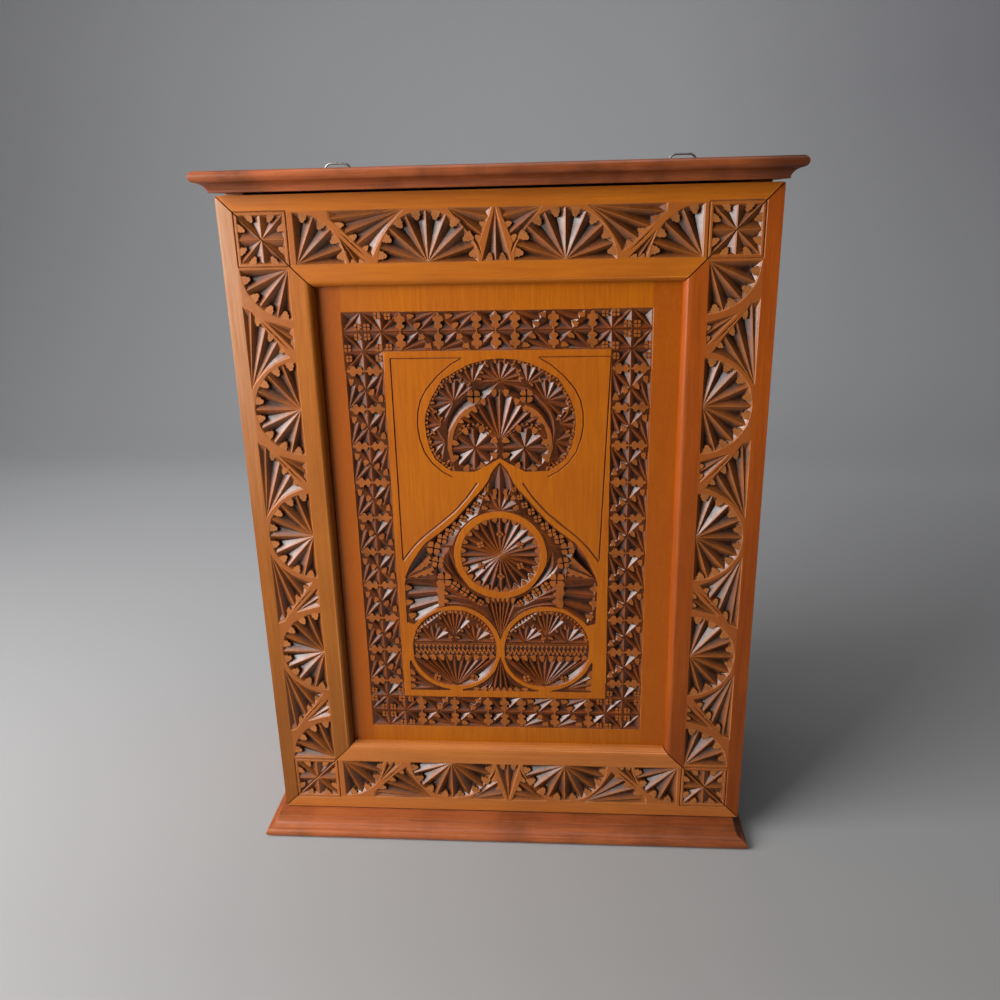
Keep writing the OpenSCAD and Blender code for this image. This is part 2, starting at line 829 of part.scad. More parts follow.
// Wheel at the motif's foot: fans over a plain band, and a wide fan under it
module wheel() {
    for (x = [-16, 16]) round_fan([x, 4], 12.6, [0, 45, 90, 135, 180], cut_d / 2);
    round_fan([0, 10], 21.6, [48, 76, 104, 132], cut_d / 2);
    fan([0, -32], [[-30, -14], [-22, -8], [-11, -8], [0, -8], [11, -8], [22, -8], [30, -14]]);
}

// Motif in the panel's field about its own middle, for a face at y = 0
module motif() {
    $draw = min(field_x / motif_x, field_h / motif_h);
    translate([0, 0, -motif_mid * $draw]) for (side = [0, 1]) mirror([side, 0, 0]) {
        lobe();
        ogee();
        translate([37.4, 0, 150] * $draw) wheel();
    }
}

module panel() {
    color(honey) place() difference() {
        box([left_x + panel_edge, panel_set, door_z + panel_edge],
            [right_x - panel_edge, panel_set + panel_t, door_z + door_h - panel_edge]);
        translate([0, panel_set, 0]) border();
        translate([0, panel_set, border_mid]) motif();
    }
}

// Slips that hold the panel in its rebate, mitred at their ends and lying along +X
module slip(length) {
    along_y(door_t - slip_t, door_t)
        polygon([[0, 0], [length, 0], [length - rebate_w, rebate_w], [rebate_w, rebate_w]]);
}

slip_edge = opening - rebate_w;
slip_w = door_w - 2 * slip_edge;
slip_h = door_h - 2 * slip_edge;
brad_mid = rebate_w / 2;

// Brads along one slip of the given length
module at_brads(length) {
    for (i = [0:2])
        translate([length * (1 + 2 * i) / 6, door_t, brad_mid]) rotate([-90, 0, 0]) children();
}

module at_slip_top() {
    translate([left_x + slip_edge, 0, door_z + door_h - slip_edge]) mirror([0, 0, 1]) children();
}

module at_slip_bottom() {
    translate([left_x + slip_edge, 0, door_z + slip_edge]) children();
}

module at_slip_left() {
    translate([left_x + slip_edge, 0, door_z + door_h - slip_edge]) rotate([0, 90, 0]) children();
}

module at_slip_right() {
    translate([right_x - slip_edge, 0, door_z + slip_edge]) rotate([0, -90, 0]) children();
}

module pinned_slip(length) {
    difference() {
        slip(length);
        at_brads(length) nail_hole(slip_t);
    }
}

module panel_slip_top() {
    color(honey) place() at_slip_top() pinned_slip(slip_w);
}

module panel_slip_bottom() {
    color(honey) place() at_slip_bottom() pinned_slip(slip_w);
}

module panel_slip_left() {
    color(honey) place() at_slip_left() pinned_slip(slip_h);
}

module panel_slip_right() {
    color(honey) place() at_slip_right() pinned_slip(slip_h);
}

module slip_brads() {
    color(steel) place() {
        at_slip_top() at_brads(slip_w) nail(slip_t);
        at_slip_bottom() at_brads(slip_w) nail(slip_t);
        at_slip_left() at_brads(slip_h) nail(slip_t);
        at_slip_right() at_brads(slip_h) nail(slip_t);
    }
}

// Knuckles of one hinge leaf: every second one, starting with number first
module knuckle_row(z, first, bore_r) {
    for (i = [first:2:knuckles - 1])
        translate([pin_x, pin_y, z - hinge_len / 2 + i * (knuckle_len + free_gap)]) difference() {
            union() {
                cylinder(r = knuckle_r, h = knuckle_len);
                children();
            }
            translate([0, 0, -over]) cylinder(r = bore_r, h = knuckle_len + 2 * over);
        }
}

module hinge_case_leaf(z) {
    color(brass) place() {
        difference() {
            box([left_x, case_y, z - hinge_len / 2],
                [left_x + leaf_w, case_y + leaf_t, z + hinge_len / 2]);
            at_case_screws() screw_hole(screw_len);
        }
        knuckle_row(z, 0, hinge_pin_r)
            box([0, door_gap / 2, 0], [left_x - pin_x, door_gap / 2 + leaf_t, knuckle_len]);
    }
}

module hinge_door_leaf(z) {
    color(brass) place() {
        difference() {
            box([left_x, door_t - leaf_t, z - hinge_len / 2],
                [left_x + leaf_w, door_t, z + hinge_len / 2]);
            at_door_screws() screw_hole(screw_len);
        }
        knuckle_row(z, 1, hinge_pin_r + play)
            box([0, -door_gap / 2 - leaf_t, 0], [left_x - pin_x, -door_gap / 2, knuckle_len]);
    }
}

module hinge_pin(z) {
    color(brass) place() translate([pin_x, pin_y, z - hinge_len / 2])
        cylinder(r = hinge_pin_r, h = hinge_len);
}

module upper_hinge_case_leaf() {
    hinge_case_leaf(hinge_z[0]);
}

module upper_hinge_door_leaf() {
    hinge_door_leaf(hinge_z[0]);
}

module upper_hinge_pin() {
    hinge_pin(hinge_z[0]);
}

module lower_hinge_case_leaf() {
    hinge_case_leaf(hinge_z[1]);
}

module lower_hinge_door_leaf() {
    hinge_door_leaf(hinge_z[1]);
}

module lower_hinge_pin() {
    hinge_pin(hinge_z[1]);
}

module hinge_case_screws() {
    color(brass) place() at_case_screws() screw(screw_len);
}

module hinge_door_screws() {
    color(brass) place() at_door_screws() screw(screw_len);
}

// Half of the catch in Y and Z: a leaf with a rounded lip at its mouth
module jaw_section() {
    translate([mouth_y, catch_mid_z + jaw]) square([catch_back_y - mouth_y, catch_sheet]);
    translate([mouth_y + lip_r, catch_mid_z + mouth + lip_r]) circle(r = lip_r, $fn = 32);
}

module catch_spring() {
    color(brass) place() {
        difference() {
            box([inner_right_x - catch_sheet, mouth_y, catch_mid_z - catch_plate_h / 2],
                [inner_right_x, catch_back_y, catch_mid_z + catch_plate_h / 2]);
            at_catch_screws() screw_hole(screw_len);
        }
        along_x(inner_right_x - catch_w - catch_sheet, inner_right_x - catch_sheet) {
            jaw_section();
            translate([0, 2 * catch_mid_z]) mirror([0, 1]) jaw_section();
            translate([catch_back_y - catch_sheet, catch_mid_z - jaw])
                square([catch_sheet, 2 * jaw]);
        }
    }
}

module catch_striker() {
    color(brass) place() {
        difference() {
            box([catch_x - striker_plate_w / 2, door_t, catch_mid_z - striker_plate_h / 2],
                [catch_x + striker_plate_w / 2, door_t + catch_sheet,
                    catch_mid_z + striker_plate_h / 2]);
            at_striker_screws() screw_hole(screw_len);
        }
        along_x(catch_x - bulb_w / 2, catch_x + bulb_w / 2) {
            translate([door_t, catch_mid_z - bulb_r / 2]) square([bulb_y, bulb_r]);
            translate([bulb_mid_y, catch_mid_z]) circle(r = bulb_r);
        }
    }
}

module catch_screws() {
    color(brass) place() at_catch_screws() screw(screw_len);
}

module striker_screws() {
    color(brass) place() at_striker_screws() screw(screw_len);
}

// Hanger plate with a rolled barrel at its top
module hanger_plate(x) {
    color(brass) place() difference() {
        union() {
            box([x - plate_w / 2, plate_y - plate_t, pivot_z - plate_h],
                [x + plate_w / 2, plate_y, pivot_z]);
            rod_x(pivot_y, pivot_z, barrel_r, x - barrel_len / 2, x + barrel_len / 2);
        }
        rod_x(pivot_y, pivot_z, pivot_play_r, x - plate_w, x + plate_w);
        at_hanger_screws() screw_hole(hanger_screw_len);
    }
}

// Quarter bend of the wire round a centre at (x, z), from the angle a
module wire_bend(x, z, r, a) {
    translate([x, 0, z]) rotate([90, 0, 0]) rotate([0, 0, a])
        rotate_extrude(angle = 90) translate([r, 0]) circle(r = wire_r, $fn = 24);
}

// Closed wire loop: pivot bar, two legs and a top bar, joined by quarter bends
module wire_loop() {
    half = loop_w / 2;
    rod_x(0, 0, wire_r, -half + foot_bend, half - foot_bend);
    rod_x(0, loop_h, wire_r, -half + loop_bend, half - loop_bend);
    for (side = [-1, 1])
        translate([side * half, 0, foot_bend]) cylinder(r = wire_r, h = loop_h - foot_bend - loop_bend);
    wire_bend(half - foot_bend, foot_bend, foot_bend, 270);
    wire_bend(-half + foot_bend, foot_bend, foot_bend, 180);
    wire_bend(half - loop_bend, loop_h - loop_bend, loop_bend, 0);
    wire_bend(-half + loop_bend, loop_h - loop_bend, loop_bend, 90);
}

module hanging_loop(x) {
    color(steel) place() translate([x, pivot_y, pivot_z]) rotate([loop_lean, 0, 0]) wire_loop();
}

module hanger_plate_left() {
    hanger_plate(-hanger_x);
}

module hanger_plate_right() {
    hanger_plate(hanger_x);
}

module hanging_loop_left() {
    hanging_loop(-hanger_x);
}

module hanging_loop_right() {
    hanging_loop(hanger_x);
}

module hanger_screws() {
    color(brass) place() at_hanger_screws() screw(hanger_screw_len);
}

cornice_board();
base_board();
left_side();
right_side();
back_board_left();
back_board_middle();
back_board_right();
hanging_rail();
shelf();
shelf_batten_left();
shelf_batten_right();
cornice_nails();
base_nails();
back_nails();
side_nails();
left_stile();
right_stile();
top_rail();
bottom_rail();
mitre_keys();
panel();
panel_slip_left();
panel_slip_right();
panel_slip_top();
panel_slip_bottom();
slip_brads();
upper_hinge_case_leaf();
upper_hinge_door_leaf();
upper_hinge_pin();
lower_hinge_case_leaf();
lower_hinge_door_leaf();
lower_hinge_pin();
hinge_case_screws();
hinge_door_screws();
catch_spring();
catch_striker();
catch_screws();
striker_screws();
hanger_plate_left();
hanger_plate_right();
hanging_loop_left();
hanging_loop_right();
hanger_screws();
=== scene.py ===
"""The looks of the carved wall cabinet: chip-carved door, varnished boards, metalwork, light and camera."""
import json
import logging
import math
import random
from dataclasses import dataclass, field
from enum import Enum
from typing import Iterable, Sequence

import bmesh
import bpy
from mathutils import Matrix, Vector

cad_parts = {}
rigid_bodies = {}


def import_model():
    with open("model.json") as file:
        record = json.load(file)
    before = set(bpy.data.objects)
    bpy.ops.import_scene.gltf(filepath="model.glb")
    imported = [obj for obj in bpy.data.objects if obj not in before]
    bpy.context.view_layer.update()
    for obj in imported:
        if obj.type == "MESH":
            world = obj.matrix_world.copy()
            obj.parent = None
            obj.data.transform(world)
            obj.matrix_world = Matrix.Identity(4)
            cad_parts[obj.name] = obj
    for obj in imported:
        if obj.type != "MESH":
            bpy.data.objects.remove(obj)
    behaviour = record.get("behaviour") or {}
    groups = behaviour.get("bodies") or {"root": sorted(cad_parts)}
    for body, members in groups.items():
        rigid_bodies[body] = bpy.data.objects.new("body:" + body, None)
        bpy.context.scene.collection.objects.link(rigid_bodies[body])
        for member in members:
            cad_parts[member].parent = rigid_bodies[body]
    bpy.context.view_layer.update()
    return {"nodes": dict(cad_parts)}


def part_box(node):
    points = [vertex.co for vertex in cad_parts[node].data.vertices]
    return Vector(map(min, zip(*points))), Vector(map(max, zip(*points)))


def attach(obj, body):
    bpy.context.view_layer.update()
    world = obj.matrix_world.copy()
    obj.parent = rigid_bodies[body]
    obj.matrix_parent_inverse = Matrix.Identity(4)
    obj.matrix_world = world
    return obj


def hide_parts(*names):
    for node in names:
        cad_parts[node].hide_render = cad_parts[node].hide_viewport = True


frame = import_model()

MM = 0.001
LOG = logging.getLogger("cabinet")
Point = tuple[float, float]
Spot = tuple[float, float, float]
Colour = tuple[float, float, float, float]
Outline = Sequence[Sequence[float]]
BOW_STEPS, BULGE_STEPS, SICKLE_STEPS = 7, 4, 12
GROUND_TILE, PANEL_TILE, TILE_SHIFT = 0.006, 0.012, 0.000137
LEVEL, UP = (1.0, 0.0), (0.0, 1.0)


def polar(centre: Point, radius: float, degrees: float) -> Point:
    """Returns the point at an angle on a circle."""
    turn = math.radians(degrees)
    return centre[0] + radius * math.cos(turn), centre[1] + radius * math.sin(turn)


def arc(centre: Point, radius: float, start: float, stop: float, count: int) -> list[Point]:
    """Returns count + 1 points on a circle from one angle to another, in degrees."""
    return [polar(centre, radius, start + (stop - start) * i / count) for i in range(count + 1)]


@dataclass(frozen=True)
class Lay:
    """How a pattern lies on a board: its origin and its two directions, in mm across the face."""

    x: float
    z: float
    along: Point = LEVEL
    out: Point = UP

    def at(self, point: Sequence[float]) -> Vector:
        """Returns the board's x and z of a pattern point."""
        u, v = point[0], point[1]
        return Vector((self.x + u * self.along[0] + v * self.out[0], self.z + u * self.along[1] + v * self.out[1]))

    def moved(self, u: float, v: float) -> "Lay":
        """Returns the lay with its origin moved within the pattern."""
        place = self.at((u, v))
        return Lay(place.x, place.y, self.along, self.out)

    def flipped(self) -> "Lay":
        """Returns the mirror image about the pattern's second direction."""
        return Lay(self.x, self.z, (-self.along[0], -self.along[1]), self.out)

    def upended(self) -> "Lay":
        """Returns the mirror image about the pattern's first direction."""
        return Lay(self.x, self.z, self.along, (-self.out[0], -self.out[1]))


@dataclass(frozen=True)
class Nib:
    """A small bud of the surface that is left standing at the wide end of a cut, in mm."""

    half: float = 2.3
    length: float = 4.6
    neck: float = 1.05

    def outline(self) -> list[Point]:
        """Draws the bud.

        Returns:
            Its outline in order: across, and inward from the rim.
        """
        h, n, neck = self.half, self.length, self.neck
        right = [(neck * h, -1.6), (neck * h, 0.16 * n), (min(0.84, neck) * h, 0.26 * n), (0.98 * h, 0.5 * n),
                 (0.62 * h, 0.6 * n), (0.5 * h, 0.86 * n)]
        return right + [(0.0, n)] + [(-u, v) for u, v in reversed(right)]


@dataclass
class Solid:
    """A closed solid over the board's face: corners as x, z and depth in mm, and its faces."""

    corners: list[tuple[float, float, float]]
    faces: list[tuple[int, ...]]

    def reach(self) -> tuple[float, float, float, float]:
        """Returns the lowest and highest x and z."""
        xs, zs = [c[0] for c in self.corners], [c[1] for c in self.corners]
        return min(xs), min(zs), max(xs), max(zs)

    def outward(self) -> "Solid":
        """Turns the faces outward.

        Returns:
            The solid itself, or its copy with every face reversed.
        """
        volume = 0.0
        for face in self.faces:
            first = Vector(self.corners[face[0]])
            for i in range(1, len(face) - 1):
                volume += first.dot(Vector(self.corners[face[i]]).cross(Vector(self.corners[face[i + 1]])))
        if volume < 0:
            return self
        return Solid(self.corners, [tuple(reversed(face)) for face in self.faces])


@dataclass
class Carving:
    """The knife work of one board, in mm: cuts that come away, and buds that stay.

    Attributes:
        seed: Start of the hand's unevenness.
        lift: How far the cutting solids stand out of the face.
        sink: How far under the face the ridges between cuts lie.
        skim: How far under the face the buds end.
        fills: Solids that are filled up before anything is cut.
        grounds: Solids that take the face down a little.
        cuts: Solids that the knife takes away.
        stays: Solids that stay standing in the grounds and cuts.
    """

    seed: int
    lift: float = 0.35
    sink: float = 0.34
    skim: float = 0.15
    fills: list[Solid] = field(default_factory=list)
    grounds: list[Solid] = field(default_factory=list)
    cuts: list[Solid] = field(default_factory=list)
    stays: list[Solid] = field(default_factory=list)

    def __post_init__(self) -> None:
        """Starts the hand's small unevenness."""
        self.hand = random.Random(self.seed)

    def shaken(self, point: Point, by: float) -> Point:
        """Returns a point moved a little, as a hand sets it."""
        return point[0] + self.hand.uniform(-by, by), point[1] + self.hand.uniform(-by, by)

    def _loft(self, lay: Lay, rows: list[tuple[Vector, Vector, Vector, float]], rim: Sequence[Vector],
              sink: float | None = None) -> None:
        """Adds a trough from its cross-sections.

        Args:
            lay: Where the pattern lies.
            rows: Left edge, right edge, floor point and depth of each section.
            rim: Points of the far end's rim, from the left edge to the right; empty for a blunt end.
            sink: How far under the face its edges lie, where that isn't the usual.
        """
        sink = self.sink if sink is None else sink
        corners, lefts, rights, floors = [], [], [], []
        slopes = [((le - fl) / de, (ri - fl) / de) if de > 1e-6 else None for le, ri, fl, de in rows]
        known = [s for s in slopes if s is not None]
        for i, (_, _, floor, depth) in enumerate(rows):
            slope = slopes[i] or (known[0] if i == 0 else known[-1])
            rise = sink + depth + self.lift
            for bag, place, down in ((lefts, floor + slope[0] * rise, -self.lift),
                                     (rights, floor + slope[1] * rise, -self.lift),
                                     (floors, floor, sink + depth)):
                bag.append(len(corners))
                corners.append((*lay.at(place), down))
        faces = [(lefts[0], floors[0], rights[0])]
        for i in range(len(rows) - 1):
            faces += [(lefts[i], lefts[i + 1], floors[i + 1], floors[i]),
                      (floors[i], floors[i + 1], rights[i + 1], rights[i]),
                      (lefts[i], rights[i], rights[i + 1], lefts[i + 1])]
        if rim:
            _, _, floor, depth = rows[-1]
            ends = []
            for point in rim:
                place = floor + (point - floor) / depth * (sink + depth + self.lift)
                ends.append(len(corners))
                corners.append((*lay.at(place), -self.lift))
            faces += [(lefts[-1], ends[0], floors[-1]), (floors[-1], ends[-1], rights[-1])]
            faces += [(a, b, floors[-1]) for a, b in zip(ends, ends[1:])]
            faces.append((lefts[-1], rights[-1], *reversed(ends)))
        else:
            faces.append((rights[-1], floors[-1], lefts[-1]))
        self.cuts.append(Solid(corners, faces).outward())

    def valley(self, lay: Lay, apex: Point, left: Point, right: Point, depth: float,
               bows: Point = (0.0, 0.0), bulge: float = 0.0, reach: float = 0.86, nib: Nib | None = None,
               heel: tuple[Point, Point] | None = None) -> None:
        """Cuts a ray that widens and deepens from its apex to its rim.

        Args:
            lay: Where the pattern lies.
            apex: Point at which the ray starts.
            left: First end of the rim.
            right: Second end of the rim.
            depth: Depth at the deep end.
            bows: How far each long edge bows to its left, in mm.
            bulge: How far the rim bulges outward.
            reach: Share of the length at which the cut is deepest.
            nib: Bud that stays at the rim's middle.
            heel: Two points in the place of the apex, where the ray starts blunt.
        """
        starts, tips = [Vector(p) for p in heel or (apex, apex)], (Vector(left), Vector(right))
        curved = any(abs(b) > 0.01 for b in bows)
        steps = BOW_STEPS if curved else 1

        def edge(side: int, s: float) -> Vector:
            """Returns the point of one long edge at a share of its length."""
            run = tips[side] - starts[side]
            return starts[side] + run * s + Vector((-run.y, run.x)).normalized() * bows[side] * 4 * s * (1 - s)

        widest = max((edge(0, reach * i / steps) - edge(1, reach * i / steps)).length for i in range(1, steps + 1))
        rows = []
        for i in range(steps + 1):
            one, two = edge(0, reach * i / steps), edge(1, reach * i / steps)
            rows.append((one, two, (one + two) / 2, depth * (one - two).length / widest))
        middle, span = (tips[0] + tips[1]) / 2, tips[1] - tips[0]
        outward = middle - rows[-1][2]
        outward.normalize()
        count = BULGE_STEPS if bulge > 0.05 else 1
        rim = [tips[0] + span * t + outward * bulge * 4 * t * (1 - t) for t in (j / count for j in range(count + 1))]
        self._loft(lay, rows, rim)
        if nib:
            self.bud(lay, middle + outward * bulge, -outward, nib)

    def bud(self, lay: Lay, root: Sequence[float], inward: Sequence[float], nib: Nib) -> None:
        """Leaves a bud standing, rooted on a rim and pointing inward.

        Args:
            lay: Where the pattern lies.
            root: Point of the rim.
            inward: Direction in which the bud points.
            nib: The bud's sizes.
        """
        axis = Vector(inward).normalized()
        side = Vector((-axis.y, axis.x))
        base = Vector(root[:2])
        self.stay(lay, [base + side * u + axis * v for u, v in nib.outline()])

    def crescent(self, lay: Lay, start: Point, stop: Point, bows: Point, depth: float, floor: float = 0.5) -> None:
        """Cuts a sickle with two pointed ends.

        Args:
            lay: Where the pattern lies.
            start: First point of the sickle.
            stop: Second point of the sickle.
            bows: How far each edge bows to the left of the line between them.
            depth: Depth at the middle.
            floor: Where the deepest line runs, from the first edge to the second.
        """
        a, b = Vector(start), Vector(stop)
        side = Vector((-(b - a).y, (b - a).x)).normalized()
        rows = []
        for i in range(SICKLE_STEPS + 1):
            s = i / SICKLE_STEPS
            swell = 4 * s * (1 - s)
            spine = a.lerp(b, s)
            one, two = spine + side * bows[0] * swell, spine + side * bows[1] * swell
            rows.append((one, two, one.lerp(two, floor), depth * swell))
        self._loft(lay, rows, ())

    def strip(self, lay: Lay, one: Sequence[Point], two: Sequence[Point], depth: float, floor: float = 0.5,
              full: float = 9.0) -> None:
        """Cuts a trough between two edges of as many points.

        Args:
            lay: Where the pattern lies.
            one: First edge.
            two: Second edge.
            depth: Greatest depth.
            floor: Where the deepest line runs, from the first edge to the second.
            full: Width from which the trough has its greatest depth.
        """
        rows = []
        for p, q in zip(one, two):
            a, b = Vector(p), Vector(q)
            rows.append((a, b, a.lerp(b, floor), depth * min(1.0, max((a - b).length / full, 0.04))))
        self._loft(lay, rows, ())

    def line(self, lay: Lay, path: Sequence[Point], width: float = 1.0, depth: float = 0.5) -> None:
        """Cuts a fine V line along a path.

        Args:
            lay: Where the pattern lies.
            path: Its points.
            width: Its width on the face.
            depth: Its depth.
        """
        points = [Vector(p) for p in path]
        rows = []
        for i, point in enumerate(points):
            ahead = points[min(i + 1, len(points) - 1)] - points[max(i - 1, 0)]
            side = Vector((-ahead.y, ahead.x)).normalized() * width / 2
            rows.append((point + side, point - side, point, depth))
        self._loft(lay, rows, (), sink=0.05)

    def chip(self, lay: Lay, rim: Sequence[Point], tip: Point, depth: float) -> None:
        """Cuts an upside-down pyramid.

        Args:
            lay: Where the pattern lies.
            rim: Corners on the face.
            tip: Place of the deepest point.
            depth: Its depth.
        """
        grow = (self.sink + depth + self.lift) / depth
        low = Vector(tip)
        corners = [(*lay.at(low + (Vector(p) - low) * grow), -self.lift) for p in rim]
        corners.append((*lay.at(low), self.sink + depth))
        n = len(rim)
        faces = [tuple(range(n))] + [(i, n, (i + 1) % n) for i in range(n)]
        self.cuts.append(Solid(corners, faces).outward())

    def stay(self, lay: Lay, outline: Outline, flare: float = 0.5, down: float = 9.0) -> None:
        """Leaves a small shape standing just under the face.

        Args:
            lay: Where the pattern lies.
            outline: Its corners on the face.
            flare: How far its foot spreads, in mm.
            down: How deep its walls go.
        """
        self.stays.append(self._block(lay, outline, self.skim, down, flare))

    def ground(self, lay: Lay, outline: Outline, deep: float = 0.55) -> None:
        """Takes the face down inside an outline, so that only buds and ridges stand in it."""
        self.grounds.append(self._block(lay, outline, -self.lift, deep, 0.0))

    def dots(self, lay: Lay, path: Sequence[Point], size: float, pitch: float) -> None:
        """Leaves small round buds standing along a path.

        Args:
            lay: Where the pattern lies.
            path: Points of the path.
            size: Radius of a bud.
            pitch: Distance between buds.
        """
        left = pitch / 2
        for a, b in zip(path, path[1:]):
            run = math.dist(a, b)
            while left < run:
                place = Vector(a).lerp(Vector(b), left / run)
                self.stay(lay, arc(tuple(place), size * self.hand.uniform(0.85, 1.15), 0, 300, 5), flare=0.15)
                left += pitch
            left -= run

    def fill(self, lay: Lay, outline: Outline, down: float) -> None:
        """Fills the board up to its face inside an outline, before anything is cut."""
        self.fills.append(self._block(lay, outline, 0.0, down, 0.0))

    def _block(self, lay: Lay, outline: Outline, top: float, down: float, flare: float) -> Solid:
        """Makes a solid over an outline.

        Args:
            lay: Where the pattern lies.
            outline: Its corners.
            top: Depth at which it starts.
            down: Depth at which it ends.
            flare: How far its foot spreads.

        Returns:
            The solid with its faces turned outward.
        """
        points = [lay.at(p) for p in outline]
        middle = sum(points, Vector((0.0, 0.0))) / len(points)
        n = len(points)
        corners = [(*p, top) for p in points]
        corners += [(*(p + (p - middle).normalized() * flare), down) for p in points]
        faces = [tuple(range(n)), tuple(range(2 * n - 1, n - 1, -1))]
        faces += [(i, n + i, n + (i + 1) % n, (i + 1) % n) for i in range(n)]
        return Solid(corners, faces).outward()

    def fan(self, lay: Lay, centre: Point, tips: Sequence[Point], depth: float, nib: Nib | None = None,
            bulge: float = 0.0, reach: float = 0.86, shake: float = 0.25, steep: float = 0.42) -> None:
        """Cuts a fan of rays from one centre, with a sharp ridge at each tip.

        Args:
            lay: Where the pattern lies.
            centre: Point from which the rays start.
            tips: Ends of the ridges in order.
            depth: Greatest depth.
            nib: Bud at each ray's end, made smaller on a narrow ray.
            bulge: How far each rim bulges outward.
            reach: Share of the length at which a ray is deepest.
            shake: Unevenness of the tips, in mm.
            steep: Depth for a width of one.
        """
        ends = [tips[0]] + [self.shaken(p, shake) for p in tips[1:-1]] + [tips[-1]]
        for left, right in zip(ends, ends[1:]):
            width = math.dist(left, right)
            bud = None
            if nib:
                share = min(1.0, 0.36 * width / (2 * nib.half) + 0.35)
                bud = Nib(nib.half * share, nib.length * (0.5 + 0.5 * share), nib.neck)
            self.valley(lay, centre, left, right, min(depth, steep * width) * self.hand.uniform(0.92, 1.05),
                        bulge=bulge, reach=reach, nib=bud)

    def flower(self, lay: Lay, centre: Point, radius: float, turn: float = 45.0) -> None:
        """Leaves a flower of four square petals standing.

        Args:
            lay: Where the pattern lies.
            centre: Its middle.
            radius: Its size, from the middle to the petals' shoulders.
            turn: Direction of its first petal in degrees.
        """
        petal = ((0, 0.2), (-36, 0.74), (-31, 1.12), (0, 1.24), (31, 1.12), (36, 0.74))
        for base in (turn, turn + 90, turn + 180, turn + 270):
            self.stay(lay, [polar(centre, radius * share, base + offset) for offset, share in petal], flare=0.15)

    def _layers(self, solids: Iterable[Solid]) -> list[list[Solid]]:
        """Sorts solids into groups in which none overlaps another.

        Args:
            solids: The solids in any order.

        Returns:
            The groups.
        """
        layers: list[list[tuple[tuple[float, ...], Solid]]] = []
        for solid in solids:
            box = solid.reach()
            for layer in layers:
                if all(box[0] > b[2] or b[0] > box[2] or box[1] > b[3] or b[1] > box[3] for b, _ in layer):
                    layer.append((box, solid))
                    break
            else:
                layers.append([(box, solid)])
        return [[solid for _, solid in layer] for layer in layers]

    def _tools(self, solids: Iterable[Solid], face_y: float, name: str) -> bpy.types.Collection:
        """Makes one cutting object for each group of solids.

        Args:
            solids: The solids.
            face_y: Place of the board's face, in metres.
            name: First word of the objects' names.

        Returns:
            A collection that holds the objects.
        """
        group = bpy.data.collections.new(name)
        bpy.context.scene.collection.children.link(group)
        for number, layer in enumerate(self._layers(solids)):
            corners, faces = [], []
            for solid in layer:
                base = len(corners)
                corners += [(x * MM, face_y + depth * MM, z * MM) for x, z, depth in solid.corners]
                faces += [tuple(base + i for i in face) for face in solid.faces]
            mesh = bpy.data.meshes.new(f"{name}_{number}")
            mesh.from_pydata(corners, [], faces)
            group.objects.link(bpy.data.objects.new(mesh.name, mesh))
        return group

    def cut(self, board: bpy.types.Object, face_y: float) -> None:
        """Takes the cuts out of a board and leaves the buds.

        Args:
            board: Closed board whose face looks along -Y.
            face_y: Place of that face, in metres.
        """
        fills = self._tools(self.fills, face_y, "fill")
        grounds = self._tools(self.grounds, face_y, "ground")
        knives = self._tools(self.cuts, face_y, "knife")
        buds = self._tools(self.stays, face_y, "bud")
        for tool in grounds.objects:
            tiled(tool, GROUND_TILE)
        for tool in (*knives.objects, *grounds.objects):
            combine(tool, buds, "DIFFERENCE")
        combine(board, fills, "UNION")
        combine(board, grounds, "DIFFERENCE")
        before = len(board.data.vertices)
        combine(board, knives, "DIFFERENCE")
        LOG.info("%s: %d cuts, %d buds, %d to %d corners", board.name, len(self.cuts), len(self.stays), before,
                 len(board.data.vertices))
        for group in (fills, grounds, knives, buds):
            for tool in list(group.objects):
                mesh = tool.data
                bpy.data.objects.remove(tool)
                bpy.data.meshes.remove(mesh)
            bpy.data.collections.remove(group)


def only(thing: bpy.types.Object) -> None:
    """Selects one object and makes it the active one.

    Args:
        thing: The object.
    """
    bpy.ops.object.select_all(action="DESELECT")
    thing.select_set(True)
    bpy.context.view_layer.objects.active = thing


def combine(body: bpy.types.Object, tools: bpy.types.Collection, operation: str) -> None:
    """Cuts a collection of closed tools out of a body, or joins them to it.

    Args:
        body: Closed body.
        tools: The tools.
        operation: DIFFERENCE or UNION.
    """
    if not tools.objects:
        return
    only(body)
    change = body.modifiers.new("change", "BOOLEAN")
    change.operation, change.operand_type, change.solver = operation, "COLLECTION", "MANIFOLD"
    change.collection = tools
    bpy.ops.object.modifier_apply(modifier=change.name)


def tiled(body: bpy.types.Object, step: float) -> None:
    """Splits a body's faces along a grid across the front, so that cutting leaves none with a long outline.

    Args:
        body: Closed body.
        step: Width of the grid's squares, in metres.
    """
    mesh = bmesh.new()
    mesh.from_mesh(body.data)
    for axis in (0, 2):
        places = [v.co[axis] for v in mesh.verts]
        normal = Vector((axis == 0, 0, axis == 2))
        for k in range(math.ceil((min(places) + 1e-5) / step), math.ceil((max(places) - 1e-5) / step)):
            bmesh.ops.bisect_plane(mesh, geom=[*mesh.verts, *mesh.edges, *mesh.faces], dist=1e-7,
                                   plane_co=normal * (k * step + TILE_SHIFT), plane_no=normal)
    mesh.to_mesh(body.data)
    mesh.free()


def copy_of(node: str, name: str) -> bpy.types.Object:
    """Copies a CAD node's mesh and merges its corners.

    Args:
        node: The node.
        name: Name of the copy.

    Returns:
        The copy.
    """
    source = frame["nodes"][node]
    piece = bpy.data.objects.new(name, source.data.copy())
    bpy.context.scene.collection.objects.link(piece)
    only(piece)
    bpy.ops.object.mode_set(mode="EDIT")
    bpy.ops.mesh.select_all(action="SELECT")
    bpy.ops.mesh.remove_doubles(threshold=1e-6)
    bpy.ops.object.mode_set(mode="OBJECT")
    return piece


